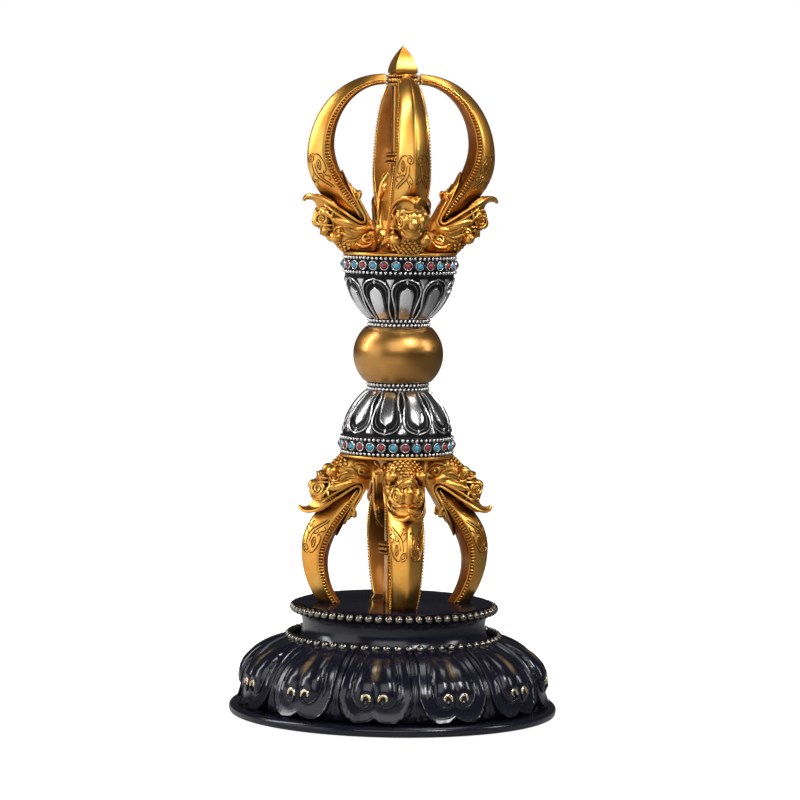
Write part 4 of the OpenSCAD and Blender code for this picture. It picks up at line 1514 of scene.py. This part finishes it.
def oval_ring(outer, inner, half, count=20, square=2.5):
    """Ring about the line between two points of a head's plane."""
    outer, inner = Vector(outer), Vector(inner)
    middle, reach = 0.5 * (outer + inner), 0.5 * (outer - inner)
    ring = []
    for i in range(count):
        c, s = math.cos(TURN * i / count), math.sin(TURN * i / count)
        along = math.copysign(abs(c) ** (2 / square), c)
        wide = math.copysign(abs(s) ** (2 / square), s)
        spot = middle + reach * along
        ring.append(Vector((spot.x, half * wide, spot.y)))
    return ring


UPPER_FACE = [
    ((18.0, 0.1), (7.2, 0.1), 5.0), ((19.4, 1.4), (7.0, 3.2), 5.5), ((21.0, 3.2), (7.6, 6.4), 5.7),
    ((21.8, 5.2), (9.6, 8.4), 5.7), ((22.2, 6.9), (12.6, 9.2), 5.5), ((22.6, 8.4), (15.4, 10.3), 5.3),
    ((23.2, 10.0), (18.4, 12.0), 5.0), ((23.9, 11.6), (21.2, 14.0), 4.6), ((24.5, 12.8), (22.8, 15.0), 4.0),
    ((24.9, 13.6), (24.0, 15.4), 2.8),
]
LOWER_JAW = [
    ((13.0, 7.8), (7.8, 6.4), 5.3), ((12.6, 10.0), (9.0, 9.4), 5.2), ((13.8, 13.0), (10.9, 12.6), 5.0),
    ((15.2, 16.0), (13.0, 15.4), 4.6), ((16.8, 19.0), (14.3, 18.4), 4.0), ((18.2, 22.0), (16.6, 21.4), 3.0),
    ((18.9, 24.0), (17.9, 24.0), 1.6), ((18.9, 25.2), (18.3, 25.2), 0.4),
]
LIP_RIM = [(30.5, 0.0, 15.6), (29.5, 1.3, 16.7), (27.9, 2.8, 17.0), (25.9, 4.3, 16.5), (23.7, 5.4, 15.3),
           (21.5, 5.8, 13.7)]
LIP_ROOT = [(26.3, 0.0, 12.9), (25.3, 1.4, 12.6), (24.2, 2.8, 12.2), (22.9, 4.0, 11.7), (21.6, 4.8, 11.2),
            (20.4, 5.2, 10.9)]
LIP_SEAT = [(26.7, 0.0, 17.7), (26.1, 1.3, 17.9), (24.9, 2.7, 17.6), (23.2, 4.0, 16.7), (21.6, 4.9, 15.5),
            (20.4, 5.2, 14.2)]


def along_points(points, share):
    """Place along a row of points, share running from 0 to 1."""
    spot = share * (len(points) - 1)
    i = min(int(spot), len(points) - 2)
    return Vector(points[i]).lerp(Vector(points[i + 1]), spot - i)


def lip_ring(u):
    """Section of the keeled upper lip, u running across it from -1 to 1."""
    rim, root, seat = (along_points(row, abs(u)) for row in (LIP_RIM, LIP_ROOT, LIP_SEAT))
    ahead = rim - root
    inward = Vector((-ahead.z, 0, ahead.x)).normalized()
    ring = []
    for t in shares(8):
        hollow = 1.5 * math.sin(math.pi * t) - 0.3 * eased(0.75, 1.0, t)
        ring.append(root.lerp(rim, t) + inward * hollow)
    back = seat - rim
    inward = Vector((-back.z, 0, back.x)).normalized()
    ring += [rim.lerp(seat, t) + inward * 0.35 * math.sin(math.pi * t) for t in shares(6)[1:]]
    ring.append(seat.lerp(root, 0.5) + Vector((-1.0, 0, 0.3)))
    side = -1 if u < 0 else 1
    return [Vector((p.x, side * p.y, p.z)) for p in ring]


def egg(place, radii, lean=0.0):
    """A round lump of a head, leaning in the head's plane."""
    mesh = ball(1.0, 20, 14)
    mesh.transform(Matrix.Translation(place) @ Matrix.Rotation(lean, 4, "Y") @ scaled(*radii))
    return mesh


def side_curl(side):
    """Place of the rolled trunk's face on one side, its own +Z pointing out of the face."""
    out = Vector((0.42, side * 0.9, -0.1)).normalized()
    return Matrix.Translation((25.0, side * 3.35, 10.0)) @ out.to_track_quat("Z", "X").to_matrix().to_4x4()


UPPER_LIP = [(21.4, 5.4, 9.2), (22.6, 5.2, 10.8), (24.2, 4.2, 12.2), (25.6, 2.4, 13.0), (26.4, 0.6, 13.2)]
TRUNK_FACE = [(0, -1.9), (1.2, -1.9), (2.2, -1.0), (2.3, -0.3), (1.8, 0.1), (0, 0.2)]
JAW_FRILL = [
    (((14.6, 4.6, 15.6), (13.7, 4.5, 16.8), (13.6, 4.0, 18.2)), 0.85),
    (((15.3, 4.3, 17.0), (15.0, 4.2, 18.0), (15.4, 3.6, 19.0)), 0.75),
    (((16.4, 4.0, 18.8), (16.2, 3.7, 19.8), (16.7, 3.0, 20.6)), 0.7),
]

# Place, radii and lean of the round lumps along a head's middle, and of those on its sides
MIDDLE_LUMPS = [
    ((25.4, 0, 10.3), (2.0, 1.7, 3.2), 0.2), ((26.2, 0, 9.2), (1.7, 1.7, 1.9), 0.0),
    ((23.2, 0, 7.0), (2.0, 3.1, 2.7), -0.25),
]
SIDE_LUMPS = [
    ((24.8, 1.9, 11.5), (1.6, 1.3, 1.6), 0.0), ((23.8, 3.2, 12.0), (1.6, 1.9, 1.4), 0.0),
    ((20.9, 4.6, 4.4), (2.0, 1.9, 1.8), -0.4), ((17.6, 4.8, 8.8), (4.6, 1.6, 1.7), -0.3),
    ((13.0, 4.9, 6.9), (2.8, 1.4, 1.7), 0.2), ((11.6, 4.6, 3.4), (2.4, 1.5, 1.7), 0.3),
]


def on_side(points, side):
    """Points of a head on one side of its plane."""
    return [Vector((r, side * wide, h)) for r, wide, h in points]


def head_lumps():
    """The head's broad forms."""
    lumps = [lofted([oval_ring(*station, square=2.15) for station in UPPER_FACE]),
             lofted([oval_ring(*station) for station in LOWER_JAW]),
             lofted([lip_ring(2 * t - 1) for t in shares(33)])]
    lumps += [egg(*lump) for lump in MIDDLE_LUMPS]
    for side in (-1, 1):
        disc = turned(rounded(TRUNK_FACE, 0.5), 28)
        disc.transform(side_curl(side))
        lumps += [disc, wire(smooth_path(on_side(UPPER_LIP, side), 5), 0.5, thin_ends(0.3))]
        for (r, wide, h), radii, lean in SIDE_LUMPS:
            lumps.append(egg((r, side * wide, h), radii, lean))
        for lobe, radius in JAW_FRILL:
            path = smooth_path(on_side(lobe, side), 5)
            lumps.append(wire(path, radius, lambda t: 0.5 + 0.5 * eased(0.0, 0.9, t)))
            lumps.append(egg(path[-1], (radius * 1.1, radius * 1.1, radius * 1.1)))
    return lumps


MOUTH_LINE = [
    (30.4, 0.0, 15.8), (29.5, 1.4, 16.9), (27.9, 2.9, 17.2), (25.9, 4.4, 16.7), (23.7, 5.4, 15.5),
    (21.5, 5.7, 14.1), (18.9, 5.6, 12.5), (16.5, 5.7, 10.9), (14.4, 5.7, 9.6), (13.0, 5.6, 9.0),
    (12.0, 5.4, 9.4), (11.8, 5.3, 10.5), (12.5, 5.2, 12.0), (13.8, 5.0, 14.2), (15.0, 4.8, 16.4),
    (16.0, 4.4, 18.6), (17.4, 3.4, 21.6), (18.4, 1.4, 24.4),
]
LIP_FOLD = [
    (24.4, 5.0, 14.6), (22.9, 5.6, 13.2), (20.2, 5.8, 11.3), (17.6, 6.0, 9.8), (15.2, 5.9, 8.6),
    (13.2, 5.8, 7.9), (11.6, 5.6, 8.0), (10.8, 5.4, 9.4), (11.2, 5.3, 11.2), (12.3, 5.1, 13.6),
    (13.6, 4.7, 15.9), (14.3, 4.2, 18.0),
]
TONGUE = [(13.2, 4.9, 10.5), (14.6, 5.0, 12.6), (17.0, 4.8, 16.6), (18.7, 4.0, 21.0), (19.0, 2.6, 24.2)]
HEAD_LINES = [
    ([(22.0, 6.6), (20.4, 7.7), (18.4, 7.7), (16.8, 6.8), (15.2, 6.2), (13.4, 6.3)], 0.42),
    ([(21.4, 4.4), (20.4, 5.6), (19.0, 5.7), (17.6, 5.0), (16.2, 4.7), (14.9, 5.1)], 0.45),
    ([(18.2, 2.7), (16.8, 3.5), (15.2, 3.6), (13.8, 4.4), (12.9, 5.4)], 0.45),
    ([(14.8, 2.9), (13.6, 1.9), (12.0, 1.6), (10.4, 2.2), (9.3, 3.6), (8.9, 5.0)], 0.6),
]
FACE_LINES = [
    ([(4.2, 9.4), (3.5, 7.6), (2.5, 6.2), (1.3, 5.3), (0, 5.0)], 0.45),
    ([(2.0, 9.0), (1.7, 7.9), (0.9, 7.3), (0, 7.1)], 0.36),
    ([(5.5, 12.0), (4.6, 13.0), (3.0, 13.3), (1.4, 12.8), (0.3, 13.1)], 0.4),
    ([(3.2, 12.4), (4.4, 11.6), (4.9, 10.2), (4.3, 8.8), (3.3, 8.0), (2.5, 9.1), (2.2, 10.5), (2.6, 11.4),
      (3.4, 11.3), (3.8, 10.4), (3.4, 9.6)], 0.36),
]
BROW_KNOB = [(21.4, 4.7, 4.6)]
EYE = (20.2, 6.2)
FANG = [(22.4, 4.9, 10.6), (22.0, 5.5, 11.8), (21.3, 5.7, 13.3)]

# Radius, height and number of studs of each row of the mane
MANE_ROWS = [(17.4, 0.5, 9), (18.5, 0.9, 8), (19.5, 1.6, 7), (20.4, 2.4, 6), (21.2, 3.3, 3), (21.8, 4.2, 2)]
STUD_PITCH = 1.36


class HeadSkin:
    """Finds the head's surface, so that ornaments can be laid on it."""

    def __init__(self, mesh):
        corners = [vert.co for vert in mesh.vertices]
        self.tree = BVHTree.FromPolygons(corners, [face.vertices[:] for face in mesh.polygons])

    def beside(self, r, h, side, lift):
        """Place on the head's side at a radius and height."""
        spot = self.tree.ray_cast(Vector((r, side * 20, h)), Vector((0, -side, 0)))[0]
        if spot is None:
            spot = self.tree.find_nearest(Vector((r, side * 4.5, h)))[0]
        return spot + Vector((0, side * lift, 0))

    def ahead(self, wide, h, lift):
        """Place on the head's front at a width and height."""
        spot = self.tree.ray_cast(Vector((34, wide, h)), Vector((-1, 0, 0)))[0]
        if spot is None:
            spot = self.tree.find_nearest(Vector((22, wide, h)))[0]
        return spot + Vector((lift, 0, 0))

    def before(self, start, aim):
        """Place and outward direction where a line from outside meets the head."""
        spot, normal = self.tree.ray_cast(start, (aim - start).normalized())[:2]
        if spot is None:
            spot, normal = self.tree.find_nearest(start)[:2]
        return spot, normal


def skin_lines(skin):
    """Brows, hair, ears, curls and folds chased on the head."""
    lines = []
    for side in (-1, 1):
        for line, radius in FACE_LINES:
            path = [skin.ahead(side * p.x, p.y, 0.1) for p in smooth_path(line, 6)]
            lines.append(wire(path, radius, thin_ends(0.2)))
        for line, radius in HEAD_LINES:
            path = [skin.beside(p.x, p.y, side, 0.15) for p in smooth_path(line, 6)]
            lines.append(wire(path, radius, thin_ends(0.25)))
        ear = [skin.beside(p.x, p.y, side, 0.2) for p in spiral((11.5, 4.4), 1.8, 0.3, 2.6, 1.4, 36)]
        lines.append(wire(ear, 0.42, thin_ends(0.15)))
        place = side_curl(side)
        turns = spiral((0, 0), 2.15, 0.4, 2.6, -1.8 * side, 54)
        lines.append(wire([place @ Vector((p.x, p.y, 0.25)) for p in turns], 0.42, lambda t: 1.0 - 0.25 * t))
        nostril = spiral((22.9, 6.2), 1.1, 0.25, -1.2, 1.4, 30)
        lines.append(wire([skin.beside(p.x, p.y, side, 0.1) for p in nostril], 0.34, thin_ends(0.2)))
    return lines


def mouth_taper(t):
    """Thickness of the mouth line: full at the lip, thin at the leaf's tip."""
    return 1.4 - 0.4 * eased(0.0, 0.4, t) - 0.45 * eased(0.75, 1.0, t)


def add_mouth(work):
    """Bright double line round the mouth, and the edge of the long inner leaf."""
    for line, radius, taper in (
        (MOUTH_LINE, sizes().mouth_wire / MM, mouth_taper),
        (LIP_FOLD, 0.36, thin_ends(0.1)),
        (TONGUE, 0.42, thin_ends(0.3)),
    ):
        work.add(wire(smooth_path(line, 5), radius, taper), "antique_gilt", BOTH_SIDES)


def add_head_ornaments(work, skin):
    """Brow knobs, eyes, fangs and the studs of the mane."""
    for side in (-1, 1):
        knobs = [Matrix.Translation(place) for place in on_side(BROW_KNOB, side)]
        work.add(ball(1.45, 20, 14), "antique_gilt", knobs)
        eye = skin.beside(*EYE, side, 0.1)
        work.add(ball(1.0, 16, 10), "antique_gilt", [Matrix.Translation(eye)])
        angles = [TURN * t for t in shares(25)[:-1]]
        lid = [eye + Vector((1.35 * math.cos(a), side * 0.35, 1.2 * math.sin(a))) for a in angles]
        work.add(wire(lid, 0.3, closed=True), "antique_gilt")
        work.add(wire(smooth_path(on_side(FANG, side), 5), 0.62, lambda t: 1.0 - 0.8 * t), "antique_gilt")
    stud = sizes().mane_stud / MM
    studs = []
    for r, h, count in MANE_ROWS:
        for i in range(count):
            wide = (i - 0.5 * (count - 1)) * STUD_PITCH
            start = Vector((r + 6, wide * 1.25, h - 4))
            spot, normal = skin.before(start, Vector((r - 6, wide * 0.9, h + 4)))
            facing = normal.to_track_quat("Z", "Y").to_matrix().to_4x4()
            studs.append(Matrix.Translation(spot + normal * 0.12) @ facing @ scaled(stud, stud, 0.8 * stud))
    work.add(ball(1.0, 10, 6), "antique_gilt", studs)


def makara_prong(upper):
    """One prong with its makara head, drawn along +X above its plate."""
    work = Workpiece()
    stations = [2.0 * s for s in shares(72)]
    work.add(lofted([prong_ring(t) for t in stations]), "antique_gilt")
    # The face turned to the axis is painted dull red brown as painted shade and patina.
    work.add(lofted([back_ring(t) for t in stations[6:-1]]), "inner_gilt")
    ladder(work)
    add_scrolls(work)
    lumps = head_lumps()
    rough = blended(lumps, 0.4, 2)
    skin = HeadSkin(rough)
    bpy.data.meshes.remove(rough)
    work.add(blended(lumps, 0.23, 3), "antique_gilt")
    for lump in lumps:
        bpy.data.meshes.remove(lump)
    for line in skin_lines(skin):
        work.add(line, "antique_gilt")
    add_mouth(work)
    add_head_ornaments(work, skin)
    if not upper:
        whole = work.bm.verts[:] + work.bm.edges[:] + work.bm.faces[:]
        cut = bmesh.ops.bisect_plane(work.bm, geom=whole, plane_co=(0, 0, LOW_CROWN_H - 0.02),
                                     plane_no=(0, 0, 1), clear_outer=True)
        edges = [e for e in cut["geom_cut"] if isinstance(e, bmesh.types.BMEdge) and e.is_boundary]
        bmesh.ops.holes_fill(work.bm, edges=edges, sides=0)
    return work.mesh(), work.finishes


class VajraProngs(bpy.types.Operator):
    """Models the eight prongs with their makara heads."""

    bl_idname = "vajra.prongs"
    bl_label = "Prongs and makara heads"

    def execute(self, context):
        for half, upper in HALVES:
            drawn, finishes = makara_prong(upper)
            for side, angle in (("front", FRONT), ("right", 0.0), ("back", -FRONT), ("left", 0.5 * TURN)):
                mesh = drawn.copy()
                mesh.transform(crown_matrix(upper, angle))
                if not upper:
                    mesh.flip_normals()
                node = half + "_prong_" + side
                set_in_place(mesh, node + "_chased", "vajra", finishes, [node], 40.0)
            bpy.data.meshes.remove(drawn)
        return {"FINISHED"}


def square_ring(half, corner, z):
    """Square with its corners taken off."""
    ring = []
    for quarter in range(4):
        turn = Matrix.Rotation(quarter * 0.25 * TURN, 3, "Z")
        ring += [turn @ Vector((half, -half + corner, z)), turn @ Vector((half, half - corner, z))]
    return ring


KNOT_BEADS = 24
KNOT_GRAINS = 36
KNOT_ROWS = (-1.28, 1.28)
TOP_KNOT_DROP = 2.0


def add_knot(work, place, z):
    """Beaded knot round a centre prong: two rings with beads between them and small grains on them."""
    # The rings are in the dull red brown gilding that stands for shade.
    work.add(turned(rounded([
        (BORE_R, z - 1.9), (4.3, z - 1.9), (4.9, z - 1.5), (4.95, z - 1.05), (4.5, z - 0.75), (4.5, z + 0.75),
        (4.95, z + 1.05), (4.9, z + 1.5), (4.3, z + 1.9), (BORE_R, z + 1.9),
    ], 0.2), 48), "inner_gilt", [place])
    beads = [place @ placed(TURN * i / KNOT_BEADS, 4.6, z) for i in range(KNOT_BEADS)]
    work.add(ball(0.72, 12, 8), "antique_gilt", beads)
    for row in KNOT_ROWS:
        grains = [place @ placed(TURN * i / KNOT_GRAINS, 4.9, z + row) for i in range(KNOT_GRAINS)]
        work.add(ball(0.36, 8, 6), "antique_gilt", grains)


class VajraCentreProngs(bpy.types.Operator):
    """Models the two centre prongs with their knots."""

    bl_idname = "vajra.centre_prongs"
    bl_label = "Centre prongs"

    def execute(self, context):
        for half, upper in HALVES:
            work = Workpiece()
            place = crown_matrix(upper, 0.0)
            length = CROWN_H if upper else LOW_CROWN_H
            rings = [(3.2, 0.25, 0.0), (3.2, 0.25, 4.0), (3.05, 0.3, 16.0), (3.0, 0.3, BULGE_H),
                     (3.0, 0.3, length - 6), (3.15, 0.3, length)]
            work.add(lofted([square_ring(*ring) for ring in rings]), "antique_gilt", [place])
            add_knot(work, place, BULGE_H)
            if upper:
                add_knot(work, place, CROWN_H - TOP_KNOT_DROP)
            node = half + "_centre_prong"
            finish_piece(work, node + "_chased", "vajra", [node])
        return {"FINISHED"}


FINIAL_HALF = 3.68
FINIAL_FOOT = 0.35
FINIAL_CORNER = 0.06
FINIAL_TURN = math.radians(12)


class VajraFinial(bpy.types.Operator):
    """Models the four-sided spear point on top."""

    bl_idname = "vajra.finial"
    bl_label = "Finial"

    def execute(self, context):
        work = Workpiece()
        height = FINIAL_TOP - CROWN_TOP
        rings = [(3.35, FINIAL_CORNER, 0.0), (3.62, FINIAL_CORNER, FINIAL_FOOT)]
        for t in shares(16)[1:]:
            half = FINIAL_HALF * (1 - t**1.75) ** 0.98
            corner = min(FINIAL_CORNER, 0.3 * half + 0.01)
            rings.append((max(half, 0.05), corner, FINIAL_FOOT + (height - 0.36) * t))
        point = lofted([square_ring(half, corner, CROWN_TOP + z) for half, corner, z in rings])
        work.add(point, "polished_gilt", [Matrix.Rotation(FINIAL_TURN, 4, "Z")])
        finish_piece(work, "finial_polished", "vajra", ["finial"], 30.0)
        return {"FINISHED"}


class VajraInnerParts(bpy.types.Operator):
    """Finishes the parts that the frame already shapes: pad, tube, washer, nut, dowel and tie rod."""

    bl_idname = "vajra.inner_parts"
    bl_label = "Inner parts"

    def execute(self, context):
        for node, finish in (
            ("felt_pad", "felt"), ("socket_tube", "polished_black"), ("tube_washer", "steel"),
            ("tube_nut", "turned_brass"), ("dowel", "turned_brass"), ("tie_rod", "steel"),
        ):
            part = bpy.data.objects[node]
            for slot in part.material_slots:
                slot.material = FINISHES[finish]()
        return {"FINISHED"}


class VajraPanel(bpy.types.Panel):
    """Lists the steps that model the vajra and its stand."""

    bl_idname = "VIEW3D_PT_vajra"
    bl_label = "Vajra"
    bl_space_type = "VIEW_3D"
    bl_region_type = "UI"
    bl_category = "Vajra"

    def draw(self, context):
        for step in STEPS:
            self.layout.operator(step.bl_idname)
        for group in (context.scene.vajra_sizes, context.scene.vajra_tints):
            box = self.layout.box()
            for name in group.bl_rna.properties.keys():
                if name not in ("rna_type", "name"):
                    box.prop(group, name)


STEPS = (
    VajraStage, VajraFootAndNeck, VajraLotus, VajraStandBeads, VajraBall, VajraCollars, VajraCups,
    VajraGemBands, VajraCrownPlates, VajraProngs, VajraCentreProngs, VajraFinial, VajraInnerParts,
)
CLASSES = (VajraSizes, VajraTints) + STEPS + (VajraPanel,)


def register():
    for cls in CLASSES:
        bpy.utils.register_class(cls)
    bpy.types.Scene.vajra_sizes = bpy.props.PointerProperty(type=VajraSizes)
    bpy.types.Scene.vajra_tints = bpy.props.PointerProperty(type=VajraTints)


def unregister():
    del bpy.types.Scene.vajra_tints
    del bpy.types.Scene.vajra_sizes
    for cls in reversed(CLASSES):
        bpy.utils.unregister_class(cls)


def main():
    register()
    for step in STEPS:
        area, name = step.bl_idname.split(".")
        getattr(getattr(bpy.ops, area), name)()


if __name__ == "__main__":
    main()
